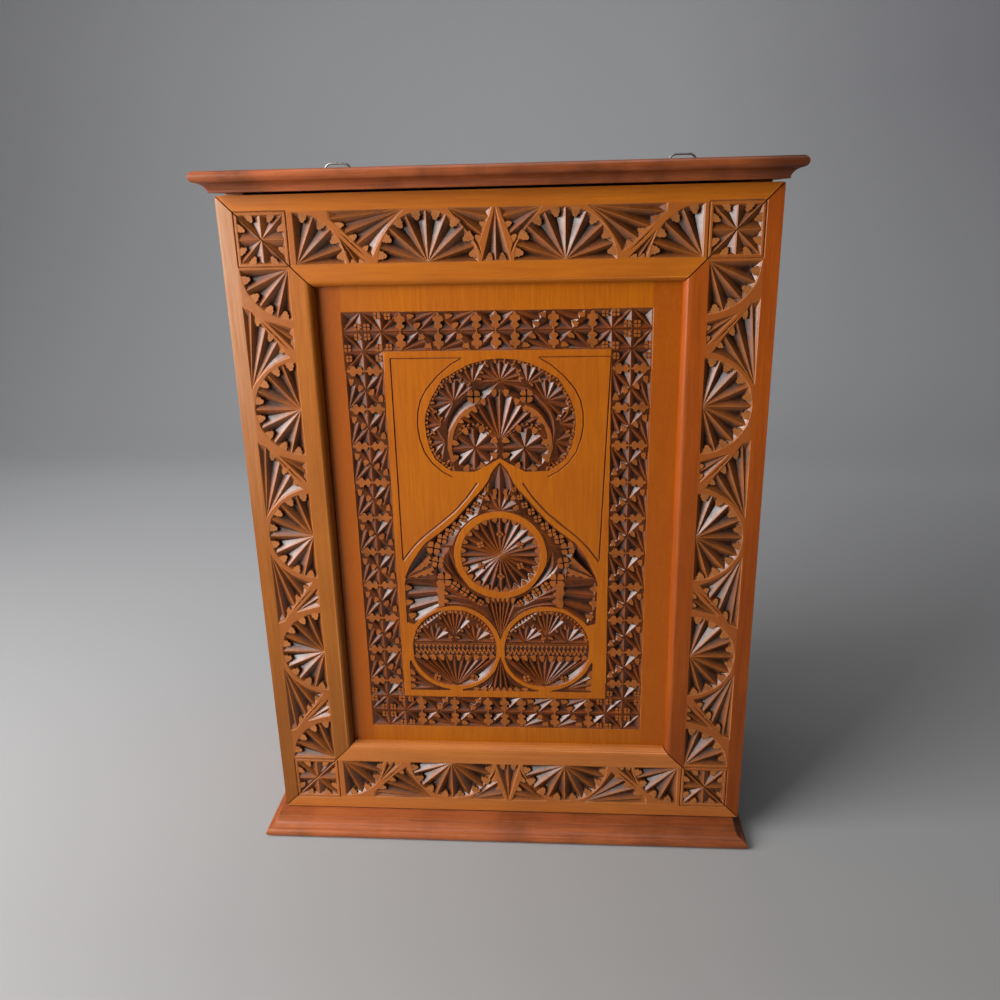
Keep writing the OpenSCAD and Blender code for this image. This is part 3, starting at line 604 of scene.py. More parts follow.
@dataclass(frozen=True)
class BandPattern:
    """The running pattern of fans, wings and leaves round the door's frame, in mm."""

    width: float = 35.0
    fan_r: float = 34.2
    depth: float = 4.3
    usual_pitch: float = 98.9
    ridges: tuple[float, ...] = (18.0, 42.0, 66.0, 90.0)
    nib: Nib = Nib(2.9, 5.8)

    def quarter(self, c: Carving, lay: Lay) -> None:
        """Cuts the quarter fan that opens along the lay's first direction.

        Args:
            c: The board's knife work.
            lay: Origin at the fan's centre.
        """
        tips = [polar((0, 0), self.fan_r, a) for a in (0.0, *self.ridges)]
        tips[0] = (self.fan_r, 0.3)
        c.fan(lay, (0, 0.15), tips, self.depth, self.nib, bulge=0.5)

    def wing(self, c: Carving, lay: Lay, pitch: float) -> None:
        """Cuts the wing that springs from beside a fan towards the next one.

        Args:
            c: The board's knife work.
            lay: Origin at the fan's centre, first direction towards the next fan.
            pitch: Distance to the next fan.
        """
        w = self.width
        slack = pitch - self.usual_pitch
        apex = (15.6, w - 0.1)
        tips = [(73.4 + 0.9 * slack, w - 0.1), (71.4 + 0.7 * slack, 29.7), (58.5 + 0.32 * slack, 20.5),
                (49.1 + 0.08 * slack, 12.9)]
        for k, (left, right) in enumerate(zip(tips, tips[1:])):
            c.valley(lay, apex, right, left, (1.7, 3.6, 3.8)[k], reach=0.9, nib=Nib(2.2, 4.8) if k else None)
        bow = 3.7 if slack > -1 else 2.0
        c.valley(lay, apex, (38.2, 5.2), tips[-1], 3.0, bows=(bow, 0.0), reach=0.9, nib=Nib(1.9, 3.8))

    def short_wing(self, c: Carving, lay: Lay, gap: float) -> None:
        """Cuts the wing that the pair in a rail's middle stops.

        Args:
            c: The board's knife work.
            lay: Origin at the fan's centre, first direction towards the rail's middle.
            gap: Distance to the rail's middle.
        """
        w = self.width
        apex = (15.6, w - 0.1)
        tips = [(gap - 3.0, w - 0.1), (gap - 4.9, 29.0), (gap - 9.4, 18.0), (gap - 12.6, 10.6)]
        for k, (left, right) in enumerate(zip(tips, tips[1:])):
            c.valley(lay, apex, right, left, (1.6, 3.2, 3.2)[k], reach=0.9, nib=Nib(2.0, 4.2) if k else None)
        c.crescent(lay, (17.4, 33.6), (gap - 10.0, 4.6), (1.6, 4.4), 1.8)

    def leaf(self, c: Carving, lay: Lay, pitch: float) -> None:
        """Cuts the small leaf between a wing's stem and the next fan.

        Args:
            c: The board's knife work.
            lay: Origin at the fan's centre, first direction towards the next fan.
            pitch: Distance to the next fan.
        """
        slack = pitch - self.usual_pitch
        apex = (64.0 + 0.5 * slack, 20.0 + 0.3 * slack)
        tips = [(43.5 + 0.1 * slack, 1.0), (51.0 + 0.3 * slack, 0.6), (58.6 + 0.6 * slack, 0.8)]
        c.fan(lay, apex, tips, 2.4, Nib(1.6, 2.8), reach=0.84)

    def vein(self, c: Carving, lay: Lay, pitch: float) -> None:
        """Cuts the vein along the stem."""
        slack = pitch - self.usual_pitch
        c.crescent(lay, (44.0 + 0.1 * slack, 5.2), (63.0 + 0.5 * slack, 22.6 + 0.3 * slack), (0.5, -0.5), 0.7)

    def half(self, c: Carving, lay: Lay, first: float, pitch: float, cells: int) -> None:
        """Cuts one half of a member's pattern.

        Args:
            c: The board's knife work.
            lay: Origin at the member's middle on the band's inner edge, first direction towards the corner.
            first: Distance from the middle to the first fan's centre.
            pitch: Distance between fans.
            cells: Number of pitches to the corner.
        """
        if first > 1:
            inward = lay.moved(first, 0).flipped()
            self.quarter(c, inward)
            self.short_wing(c, inward, first)
        for k in range(cells):
            start = lay.moved(first + k * pitch, 0)
            self.quarter(c, start)
            self.wing(c, start, pitch)
            self.leaf(c, start, pitch)
            self.vein(c, start, pitch)
            self.quarter(c, lay.moved(first + (k + 1) * pitch, 0).flipped())

    def middle_pair(self, c: Carving, lay: Lay) -> None:
        """Cuts the pair of tall narrow chips at a rail's middle."""
        w = self.width
        c.fan(lay, (0, w - 0.2), [(-9.4, 0.6), (0, 0.4), (9.4, 0.6)], 3.2, Nib(2.2, 5.0), reach=0.9)


@dataclass(frozen=True)
class CornerSquare:
    """The star in its incised square at each corner of the door's frame, in mm."""

    half: float = 16.2
    frame_half: float = 18.3

    def carve(self, c: Carving, lay: Lay) -> None:
        """Cuts the star and the line round it.

        Args:
            c: The board's knife work.
            lay: Origin at the star's middle.
        """
        h, f = 0.985 * self.half, self.frame_half
        corners = [(h, 0), (h, h), (0, h), (-h, h), (-h, 0), (-h, -h), (0, -h), (h, -h), (h, 0)]
        for left, right in zip(corners, corners[1:]):
            c.valley(lay, (0, 0), left, right, 3.3 * c.hand.uniform(0.92, 1.06), reach=0.8, nib=Nib(2.3, 5.4))
        for a, b in (((-f, -f), (f, -f)), ((f, -f), (f, f)), ((f, f), (-f, f)), ((-f, f), (-f, -f))):
            c.line(lay, [a, b], 1.3, 0.7)


@dataclass(frozen=True)
class BorderPattern:
    """The double row of crossed chips round the panel, in mm."""

    half_x: float = 109.6
    low_z: float = 76.2
    high_z: float = 413.8
    band: float = 27.8
    depth: float = 3.1
    across_cells: int = 3
    upright_cells: int = 10
    leaf_half: float = 3.8

    def leaf(self, c: Carving, lay: Lay, length: float) -> None:
        """Leaves a leaf of three lobes standing, from the origin along the second direction.

        Args:
            c: The panel's knife work.
            lay: Origin at the leaf's root.
            length: Its length.
        """
        half = self.leaf_half
        right = [(0.12, 0.04), (0.2, 0.14), (0.7, 0.19), (0.84, 0.31), (0.4, 0.41), (0.5, 0.5), (1.0, 0.56),
                 (0.92, 0.74), (0.36, 0.82), (0.24, 0.93)]
        outline = [(0, -0.03 * length)] + [(half * u, length * v) for u, v in right] + [(0, length)]
        outline += [(-half * u, length * v) for u, v in reversed(right)]
        c.stay(lay, outline, flare=0.4)

    def cell(self, c: Carving, lay: Lay, hl: float, ends: tuple[bool, bool] = (True, True), plain: bool = False,
             budded: bool = False) -> None:
        """Cuts one crossed cell.

        Args:
            c: The panel's knife work.
            lay: Origin at the crossing, first direction along the band, second away from the panel's middle.
            hl: Half the cell's length.
            ends: Whether the near and the far half are cut.
            plain: Whether the side triangles are single chips in the place of rays.
            budded: Whether they are single chips with a flower in each.
        """
        hb, d = self.band / 2, self.depth
        for sign, wanted in ((1, ends[1]), (-1, ends[0])):
            if not wanted:
                continue
            turn = lay if sign > 0 else lay.flipped().upended()
            deep = d * c.hand.uniform(0.92, 1.06)
            c.chip(turn, [(0.2, 0.1), (hl, hb - 0.2), (hl, 0.15)], (0.74 * hl, 0.36 * hb), deep)
            c.chip(turn, [(0.5, -0.15), (hl, -0.15), (hl, -hb + 0.7)], (0.74 * hl, -0.36 * hb), deep)
            if plain or budded:
                low = hb * (0.52 if budded else 0.72)
                c.chip(turn, [(hl, hb), (0.1, 0.4), (0.1, hb)], (0.34 * hl, low), d)
                c.chip(turn, [(hl, -hb), (0.1, -hb), (0.1, -0.4)], (0.34 * hl, -low), d)
                if budded:
                    c.flower(turn, (0.36 * hl, 0.78 * hb), 2.2)
                    c.flower(turn, (0.36 * hl, -0.78 * hb), 2.2)
                continue
            mid = (-0.30 * hl, 0.52 * hb)
            c.valley(turn, (hl, hb - 0.1), (-0.66 * hl, hb - 0.3), mid, 0.72 * d, reach=0.84, nib=Nib(1.6, 3.4))
            c.valley(turn, (hl, hb - 0.1), mid, (0.35, 0.5), 0.92 * d, reach=0.78, nib=Nib(1.6, 3.4))

    def leaves(self, c: Carving, lay: Lay) -> None:
        """Leaves the pair of leaves on the line between two cells."""
        for half in (lay, lay.upended()):
            self.leaf(c, half, self.band / 2 - 0.5)

    def corner(self, c: Carving, lay: Lay) -> None:
        """Cuts the denser square at one corner of the border.

        Args:
            c: The panel's knife work.
            lay: Origin at the square's middle, both directions away from the panel's middle.
        """
        hb, d = self.band / 2, self.depth * 0.82
        for a, b in ((1, 1), (1, -1), (-1, 1), (-1, -1)):
            c.chip(lay, [(0.15 * a, 0.1 * b), (a * hb, 0.15 * b), (0.15 * a, b * hb)],
                   (0.40 * a * hb, 0.40 * b * hb), d)
            c.chip(lay, [(a * hb, b * (hb - 0.1)), (a * hb, 0.5 * b), (0.5 * a, b * hb)],
                   (0.64 * a * hb, 0.64 * b * hb), d)
            c.flower(lay, (0.25 * a * hb, 0.25 * b * hb), 2.3)
            if (a, b) != (1, 1):
                c.flower(lay, (0.82 * a * hb, 0.82 * b * hb), 2.5)

    def carve(self, c: Carving, lay: Lay) -> None:
        """Cuts the whole border.

        Args:
            c: The panel's knife work.
            lay: Origin at the foot of the door's middle line.
        """
        band, x, low, high = self.band, self.half_x, self.low_z, self.high_z
        foot, head, middle = low + band, high - band, x - band / 2
        for a, b, left, right in ((foot, head, -x, band - x), (foot, head, x - band, x),
                                  (low, foot, -x, x), (head, high, -x, x)):
            c.ground(lay, [(left, a), (right, a), (right, b), (left, b)])
        across = (x - band) / self.across_cells
        for row in (lay.moved(0, high - band / 2), lay.moved(0, low + band / 2).upended()):
            for k in range(self.across_cells + 1):
                last = k == self.across_cells
                for side in (row, row.flipped()):
                    spot = side.flipped().moved(-k * across, 0)
                    self.cell(c, spot, across / 2, ends=(not last, k > 0), plain=k == 0, budded=last)
                    if not last:
                        self.leaves(c, spot.moved(-across / 2, 0))
            self.leaves(c, row)
            for side in (row, row.flipped()):
                self.corner(c, side.moved(middle, 0))
        count = self.upright_cells
        along = (head - foot) / count
        for side in (lay, lay.flipped()):
            column = side.moved(-middle, 0)
            upright = Lay(column.x, column.z, (0.0, -1.0), (-side.along[0], 0.0))
            for k in range(count + 1):
                spot = upright.moved(k * along - head, 0)
                self.cell(c, spot, along / 2, ends=(k > 0, k < count), budded=k in (0, count))
                if k < count:
                    self.leaves(c, spot.moved(along / 2, 0))


@dataclass(frozen=True)
class PanelMotif:
    """The lobe, ogee and rings in the panel's field, in mm on the door's left half, mirrored on a leaning line.
    """

    foot_x: float = -6.6
    lean: float = 0.0206
    ring: Point = (-1.8, 228.5)
    ring_r: float = 30.3
    wheel: Point = (-40.3, 148.3)
    small: Nib = Nib(1.1, 2.1, 0.5)

    def middle(self, z: float) -> Point:
        """Returns the point of the leaning middle line at a height."""
        return self.foot_x + self.lean * z, z

    def lines(self, c: Carving, lay: Lay) -> None:
        """Cuts the fine lines round the lobe and along the ogee.

        Args:
            c: The panel's knife work.
            lay: Origin at the foot of the door's middle line.
        """
        c.line(lay, [(-26.5, 380.7), (-77.8, 380.7)], 1.0, 0.7)
        c.line(lay, [(-77.8, 380.9), (-77.6, 224.0)], 1.2, 0.9)
        c.line(lay, [(-26.5, 380.5), (-35.0, 375.6), (-45.0, 367.2), (-53.0, 358.0), (-57.4, 350.0), (-59.8, 341.0),
                     (-60.5, 331.0), (-59.4, 321.0), (-56.4, 311.0), (-51.0, 302.6), (-43.6, 295.8), (-36.0, 291.6)],
               1.2, 0.8)
        c.line(lay, [(-17.6, 287.0), (-25.8, 275.4), (-35.8, 264.2), (-47.0, 254.6), (-59.5, 244.4), (-67.8, 236.4),
                     (-77.4, 224.0)], 1.9, 0.72)

    def lobe(self, c: Carving, lay: Lay) -> None:
        """Cuts half of the round lobe at the top: the fans of its rim, its arch, a star and part of a fan.

        Args:
            c: The panel's knife work.
            lay: Origin at the foot of the door's middle line.
        """
        rim = (((-19.0, 362.0), ((-8.5, 378.0), (-18.0, 375.5), (-24.5, 373.0), (-29.0, 369.5), (-36.5, 364.5))),
               ((-33.0, 349.0), ((-20.5, 358.5), (-25.0, 362.0), (-31.5, 364.5), (-38.0, 362.0), (-43.8, 357.5),
                                 (-47.2, 351.4), (-48.0, 345.0), (-44.0, 339.0), (-40.0, 335.0))),
               ((-42.6, 331.6), ((-45.4, 341.0), (-51.5, 343.4), (-53.8, 336.4), (-53.6, 330.2), (-52.3, 323.4))),
               ((-40.5, 318.8), ((-45.8, 328.0), (-51.0, 322.6), (-51.2, 316.0), (-48.7, 310.0), (-43.0, 306.2))),
               ((-37.2, 305.4), ((-43.4, 304.8), (-41.0, 299.8), (-36.6, 297.4), (-34.4, 300.2))))
        for centre, tips in rim:
            wide = [(centre[0] + 1.07 * (x - centre[0]), centre[1] + 1.07 * (z - centre[1])) for x, z in tips]
            c.fan(lay, centre, wide, 2.4, self.small, bulge=0.5, shake=0.2)
        edge = [(-8.0, 379.4), (-20.0, 376.6), (-29.5, 372.0), (-41.0, 365.4), (-49.5, 352.0), (-53.9, 341.0),
                (-55.0, 333.5), (-54.4, 323.5), (-52.4, 314.0), (-49.0, 306.0), (-43.5, 301.0), (-36.5, 296.2)]
        c.ground(lay, [self.middle(380.2), *edge, (-19.5, 295.6), (-8.0, 301.5), self.middle(306.0)])
        within = [(x * 0.965, 338.0 + (z - 338.0) * 0.965) for x, z in edge]
        c.ground(lay, [*edge, *reversed(within)], 1.1)
        c.dots(lay, [(x * 0.975, 338.0 + (z - 338.0) * 0.975) for x, z in edge], 0.85, 3.1)
        band = [(-17.5, 346.4), (-22.0, 344.4), (-26.0, 342.0), (-30.0, 338.0), (-33.8, 332.2), (-36.6, 327.4),
                (-38.0, 322.0), (-39.0, 314.0), (-36.4, 303.0), (-33.6, 303.8), (-35.4, 309.5), (-36.0, 316.0),
                (-34.6, 323.5), (-32.4, 330.0), (-28.6, 336.4), (-25.0, 338.8), (-21.0, 341.4)]
        c.stay(lay, band, flare=0.3)
        outer = [(0.9, 363.5), (-9.0, 361.6), (-19.0, 359.0), (-25.0, 354.0), (-30.0, 348.5), (-34.0, 344.0),
                 (-37.0, 339.5), (-39.0, 334.0), (-39.8, 328.5), (-39.6, 322.0), (-39.2, 316.0)]
        inner = [(0.8, 363.3), (-7.0, 354.0), (-12.8, 347.8), (-17.5, 346.4), (-22.0, 344.4), (-26.0, 342.0),
                 (-30.0, 338.0), (-33.8, 332.2), (-36.6, 327.4), (-38.0, 322.0), (-39.0, 316.0)]
        c.strip(lay, outer, inner, 3.2, floor=0.5, full=8.0)
        c.flower(lay, (-18.5, 352.6), 4.4)
        tips = [self.middle(358.5), (-8.2, 352.0), (-15.4, 345.6), (-21.4, 341.2), (-27.0, 337.0), (-31.4, 332.4)]
        c.fan(lay, self.middle(319.5), tips, 3.2, Nib(1.7, 3.4), bulge=0.4)
        c.crescent(lay, (-34.6, 320.0), (-2.6, 320.4), (9.9, 14.0), 2.2)
        c.dots(lay, [(-5.6, 325.4), (-11.0, 330.6), (-18.5, 332.2), (-26.0, 330.8), (-32.0, 326.0)], 0.9, 3.6)
        star = [(-19.8, 330.5), (-7.0, 325.5), (-1.7, 313.5), (-8.0, 303.5), (-19.5, 296.8), (-31.3, 300.4),
                (-35.8, 313.0), (-30.5, 323.0), (-19.8, 330.5)]
        c.fan(lay, (-18.5, 314.0), star, 3.2, Nib(1.9, 3.8), bulge=0.9, reach=0.84)

    def crown(self, c: Carving, lay: Lay) -> None:
        """Cuts the fan at the top of the lobe.

        Args:
            c: The panel's knife work.
            lay: Origin at the foot of the door's middle line.
        """
        centre = self.middle(363.8)
        c.fan(lay, centre, [polar(centre, 15.0, a) for a in (-3, 15, 38, 64, 90, 116, 142, 165, 183)], 2.2, self.small,
              bulge=0.4)

    def neck(self, c: Carving, lay: Lay) -> None:
        """Cuts half of the ogee's neck and the flowers down its side.

        Args:
            c: The panel's knife work.
            lay: Origin at the foot of the door's middle line.
        """
        edge = [(-6.4, 296.0), (-10.0, 288.4), (-14.5, 282.0), (-22.0, 274.0), (-30.0, 264.5), (-38.0, 255.8),
                (-47.0, 248.0), (-55.0, 242.0), (-59.5, 238.6), (-67.6, 227.6), (-72.0, 219.0), (-75.8, 211.0),
                (-77.6, 204.0), (-77.6, 171.0)]
        c.ground(lay, [self.middle(303.0), *edge, *arc(self.wheel, 37.4, 146, 12, 26), self.middle(192.3),
                       *arc(self.ring, 36.2, 270, 90, 30), self.middle(265.0)])
        c.ground(lay, [(-76.4, 208.9), (-56.4, 228.4), (-53.4, 221.0), (-52.8, 208.6)], 1.5)
        c.stay(lay, [(-74.0, 210.8), (-66.0, 218.8), (-56.6, 227.8), (-55.6, 225.6), (-57.6, 224.4), (-55.0, 222.2),
                     (-58.0, 221.4), (-58.8, 219.0), (-61.4, 218.8), (-63.4, 216.4), (-66.2, 215.8)], flare=0.1)
        c.stay(lay, [(-74.6, 209.6), (-64.0, 214.2), (-54.6, 218.2), (-53.6, 216.2), (-56.4, 214.4), (-53.4, 212.6),
                     (-56.8, 211.4), (-58.4, 213.0), (-61.4, 210.6), (-64.4, 212.0), (-67.4, 209.4), (-70.6, 210.2)],
               flare=0.1)
        c.valley(lay, self.middle(302.0), (-9.6, 281.6), self.middle(270.0), 2.6, bows=(-2.6, 0.0), reach=0.86,
                 nib=Nib(1.3, 3.0))
        c.fan(lay, self.middle(264.2), [self.middle(280.6), (-8.9, 279.8), (-13.3, 270.0), (-13.4, 264.4)], 2.4,
              Nib(1.4, 2.8))
        outer = [(-9.8, 287.6), (-14.5, 281.2), (-22.0, 273.2), (-30.0, 263.8), (-38.0, 255.1), (-47.0, 247.3),
                 (-55.0, 241.2), (-59.0, 236.6)]
        inner = [(-9.3, 285.5), (-12.8, 275.6), (-16.4, 267.0),
                 *(polar(self.ring, 36.6, a) for a in (116, 129, 142, 155, 167))]
        c.strip(lay, outer, inner, 3.3, floor=0.3, full=10.0)
        for at, size in (((-11.2, 281.8), 1.6), ((-15.6, 275.6), 1.9), ((-19.4, 269.4), 2.2), ((-24.6, 264.2), 2.4),
                         ((-29.6, 258.4), 2.6), ((-35.2, 252.6), 2.8), ((-40.8, 247.4), 2.9), ((-46.4, 242.0), 3.4),
                         ((-53.2, 234.4), 4.7), ((-50.4, 222.6), 4.2)):
            c.flower(lay, at, size, turn=35)
        c.strip(lay, [(-76.7, 209.6), (-73.6, 216.6), (-69.6, 224.0), (-64.8, 231.0), (-60.2, 237.2)],
                [(-76.2, 208.9), (-71.0, 214.0), (-66.2, 218.6), (-61.2, 223.4), (-57.2, 227.8)], 4.2,
                floor=0.82, full=6.5)
        c.strip(lay, [(-58.6, 236.0), (-57.0, 228.6), (-55.0, 222.6), (-53.6, 215.0), (-52.6, 208.6)],
                [(-40.2, 234.4), (-44.6, 228.4), (-46.4, 222.6), (-45.6, 217.0), (-42.0, 212.0)], 3.0,
                floor=0.35, full=11.0)
        c.crescent(lay, (-41.4, 233.2), (-24.6, 199.4), (-2.2, -8.4), 2.9, floor=0.4)
        c.crescent(lay, (-47.6, 224.6), (-33.0, 205.6), (0.6, -3.6), 1.8)

    def rose(self, c: Carving, lay: Lay) -> None:
        """Cuts the rosette in the middle ring.

        Args:
            c: The panel's knife work.
            lay: Origin at the foot of the door's middle line.
        """
        count = 24
        tips = [polar(self.ring, self.ring_r, 360 * k / count) for k in range(count + 1)]
        c.fan(lay, self.ring, tips, 2.8, Nib(1.9, 3.6), bulge=0.4, shake=0.2, steep=0.5)
        for k in range(6):
            c.flower(lay, polar(self.ring, 17.5, 30 + 60 * k), 2.3, turn=30 + 60 * k)
        c.line(lay, arc(self.ring, 36.2, -44, 224, 44), 0.9, 0.9)

    def flank(self, c: Carving, lay: Lay) -> None:
        """Cuts the side fan, the post and the sprays beside the middle ring.

        Args:
            c: The panel's knife work.
            lay: Origin at the foot of the door's middle line.
        """
        edges = (((-75.8, 206.6), (-52.2, 204.0)), ((-75.9, 194.8), (-52.0, 197.3)), ((-75.4, 181.8), (-51.6, 189.4)),
                 ((-71.0, 171.4), (-51.4, 184.8)))
        for (left, start), (right, stop) in zip(edges, edges[1:]):
            c.valley(lay, start, left, right, 3.3, bulge=0.5, reach=0.88, nib=Nib(2.2, 4.4), heel=(start, stop))
        c.stay(lay, [(-45.2, 204.6), (-52.6, 205.4), (-51.0, 201.4), (-52.6, 197.6), (-50.8, 193.4), (-52.0, 189.0),
                     (-51.4, 184.2), (-46.6, 185.6), (-47.8, 189.4), (-46.2, 193.0), (-47.6, 196.4), (-46.0, 200.0)],
               flare=0.3)
        c.flower(lay, (-46.0, 208.0), 5.2)
        low = [(-46.6, 200.4), (-38.0, 196.2), (-30.0, 191.0), (-20.9, 185.3), (-13.0, 184.4)]
        high = [(-41.4, 212.0), (-35.6, 207.4), (-28.8, 200.8), (-20.6, 195.4), (-13.4, 192.2)]
        c.strip(lay, low, high, 3.0, floor=0.6, full=8.0)
        for apex, left, right, depth, bows, nib in (
                ((-9.4, 181.0), (-46.6, 193.4), (-46.6, 199.6), 2.4, (-3.2, -1.4), Nib(1.5, 3.2)),
                ((-7.0, 172.4), (-46.6, 186.4), (-46.6, 192.8), 2.6, (-5.2, -4.4), Nib(1.5, 3.2)),
                ((-7.4, 170.4), (-50.8, 183.6), (-46.8, 187.0), 2.2, (-7.0, -6.0), None)):
            c.valley(lay, apex, left, right, depth, bows=bows, reach=0.92, nib=nib)
        for at, size in (((-37.6, 202.6), 3.1), ((-30.6, 197.6), 3.1), ((-24.2, 192.8), 2.7), ((-18.2, 188.6), 2.2)):
            c.flower(lay, at, size, turn=10)

    def hearts(self, c: Carving, lay: Lay) -> None:
        """Cuts the fans above and below the point where the two wheels touch.

        Args:
            c: The panel's knife work.
            lay: Origin at the foot of the door's middle line.
        """
        up = [(-15.3, 190.4), (-10.3, 191.8), (-6.4, 192.0), (-2.7, 192.0), (1.0, 192.0), (4.9, 191.8), (9.9, 190.4)]
        c.fan(lay, self.middle(157.0), up, 2.4, Nib(1.3, 3.2), steep=0.52, reach=0.9)
        down = [(6.2, 110.6), (1.2, 110.2), (-4.0, 110.0), (-9.2, 110.2), (-14.2, 110.6)]
        c.fan(lay, self.middle(141.0), down, 2.6, Nib(1.6, 3.2), steep=0.5, reach=0.9)
        for sign in (1.0, -1.0):
            side = Lay(lay.x - 4.0, lay.z, (sign, 0.0))
            c.valley(side, (0.6, 137.0), (10.3, 110.6), (16.4, 111.2), 2.2, bows=(-2.2, -3.6), reach=0.9,
                     nib=Nib(1.5, 2.8))
            c.valley(side, (2.4, 131.0), (16.6, 111.2), (23.4, 111.6), 1.8, bows=(-3.6, -4.6), reach=0.9,
                     nib=Nib(1.5, 2.6))

    def wheel_work(self, c: Carving, lay: Lay) -> None:
        """Cuts what fills one of the two lower wheels.

        Args:
            c: The panel's knife work.
            lay: Origin at the foot of the door's middle line.
        """
        c.ground(lay, arc(self.wheel, 33.7, 0, 351, 39))
        c.dots(lay, arc(self.wheel, 32.2, 14, 166, 38), 0.8, 3.2)
        halves = (((-56.4, 154.4), ((-71.8, 153.9), (-70.2, 161.0), (-65.4, 166.4), (-57.6, 168.2), (-50.6, 166.9),
                                    (-44.6, 161.8), (-42.4, 153.9))),
                  ((-23.1, 154.4), ((-38.0, 153.9), (-36.4, 161.6), (-31.8, 166.9), (-24.8, 168.4), (-17.8, 167.3),
                                    (-11.6, 161.4), (-8.8, 153.9))))
        for centre, tips in halves:
            c.fan(lay, centre, tips, 2.3, self.small, bulge=0.5, shake=0.15)
        c.fan(lay, (-39.8, 159.6), ((-53.0, 172.2), (-49.2, 178.0), (-44.9, 180.2), (-40.5, 181.0), (-36.2, 180.2),
                                    (-32.2, 178.0), (-27.2, 172.2)), 2.4, self.small, shake=0.2, bulge=0.4)
        c.crescent(lay, (-71.4, 162.0), (-47.0, 181.6), (3.7, -0.8), 1.7)
        c.crescent(lay, (-33.6, 181.6), (-9.2, 162.0), (3.7, -0.8), 1.7)
        c.line(lay, [(-72.6, 152.7), (-7.6, 152.7)], 1.0, 0.9)
        count, pitch = 19, 3.4
        c.ground(lay, [(-73.0, 151.8), (-73.4, 141.4), (-7.2, 141.4), (-7.6, 151.8)], 1.5)
        for k in range(count):
            x = self.wheel[0] + (k + 0.5 - count / 2) * pitch
            for top, tip, shift in ((151.6, 148.8, 0.0), (145.9, 148.4, 0.0), (145.5, 142.6, 0.5)):
                if k + shift * 2 < count:
                    across = x + shift * pitch
                    c.stay(lay, [(across - 1.5, top), (across + 1.5, top), (across + 0.7, 0.4 * top + 0.6 * tip),
                                 (across, tip), (across - 0.7, 0.4 * top + 0.6 * tip)], flare=0.1)
        low = (-39.6, 114.4)
        tips = ((-73.4, 141.6), (-68.4, 140.9), (-61.6, 140.7), (-54.8, 140.7), (-48.0, 140.8), (-40.6, 140.9),
                (-33.4, 140.8), (-26.4, 140.7), (-19.4, 140.7), (-12.6, 140.9), (-7.4, 141.6))
        c.fan(lay, low, tips, 2.8, Nib(1.9, 3.8), steep=0.5, reach=0.9)
        for sign, stop in ((1.0, (-73.8, 140.6)), (-1.0, (-7.0, 140.6))):
            c.crescent(lay, low, stop, (7.6 * sign, 0.4 * sign), 2.3)
        for x in (-55.3, -25.4):
            c.flower(lay, (x, 121.6), 2.6, turn=30)

    def foot(self, c: Carving, lay: Lay) -> None:
        """Cuts the leaf in one bottom corner and the ground under a wheel.

        Args:
            c: The panel's knife work.
            lay: Origin at the foot of the door's middle line.
        """
        low = 109.8
        c.ground(lay, [(-77.4, low), (-77.4, 136.6), *arc(self.wheel, 37.4, 198, 262, 12), (-45.5, low)])
        c.ground(lay, [(-35.0, low), *arc(self.wheel, 37.4, 278, 344, 12), self.middle(141.0), self.middle(low)])
        c.fan(lay, (-57.6, 112.4), [(-76.4, 110.6), (-76.8, 116.6), (-77.0, 123.0), (-76.4, 130.0)], 2.7, Nib(2.0, 4.0))

    def carve(self, c: Carving, lay: Lay) -> None:
        """Cuts the whole motif.

        Args:
            c: The panel's knife work.
            lay: Origin at the foot of the door's middle line.
        """
        mirrored = Lay(lay.x + 2 * self.foot_x, lay.z, (-1.0, 0.0), (2 * self.lean, 1.0))
        for half in (lay, mirrored):
            for cut in (self.lines, self.lobe, self.neck, self.flank, self.wheel_work, self.foot):
                cut(c, half)
        for cut in (self.crown, self.rose, self.hearts):
            cut(c, lay)


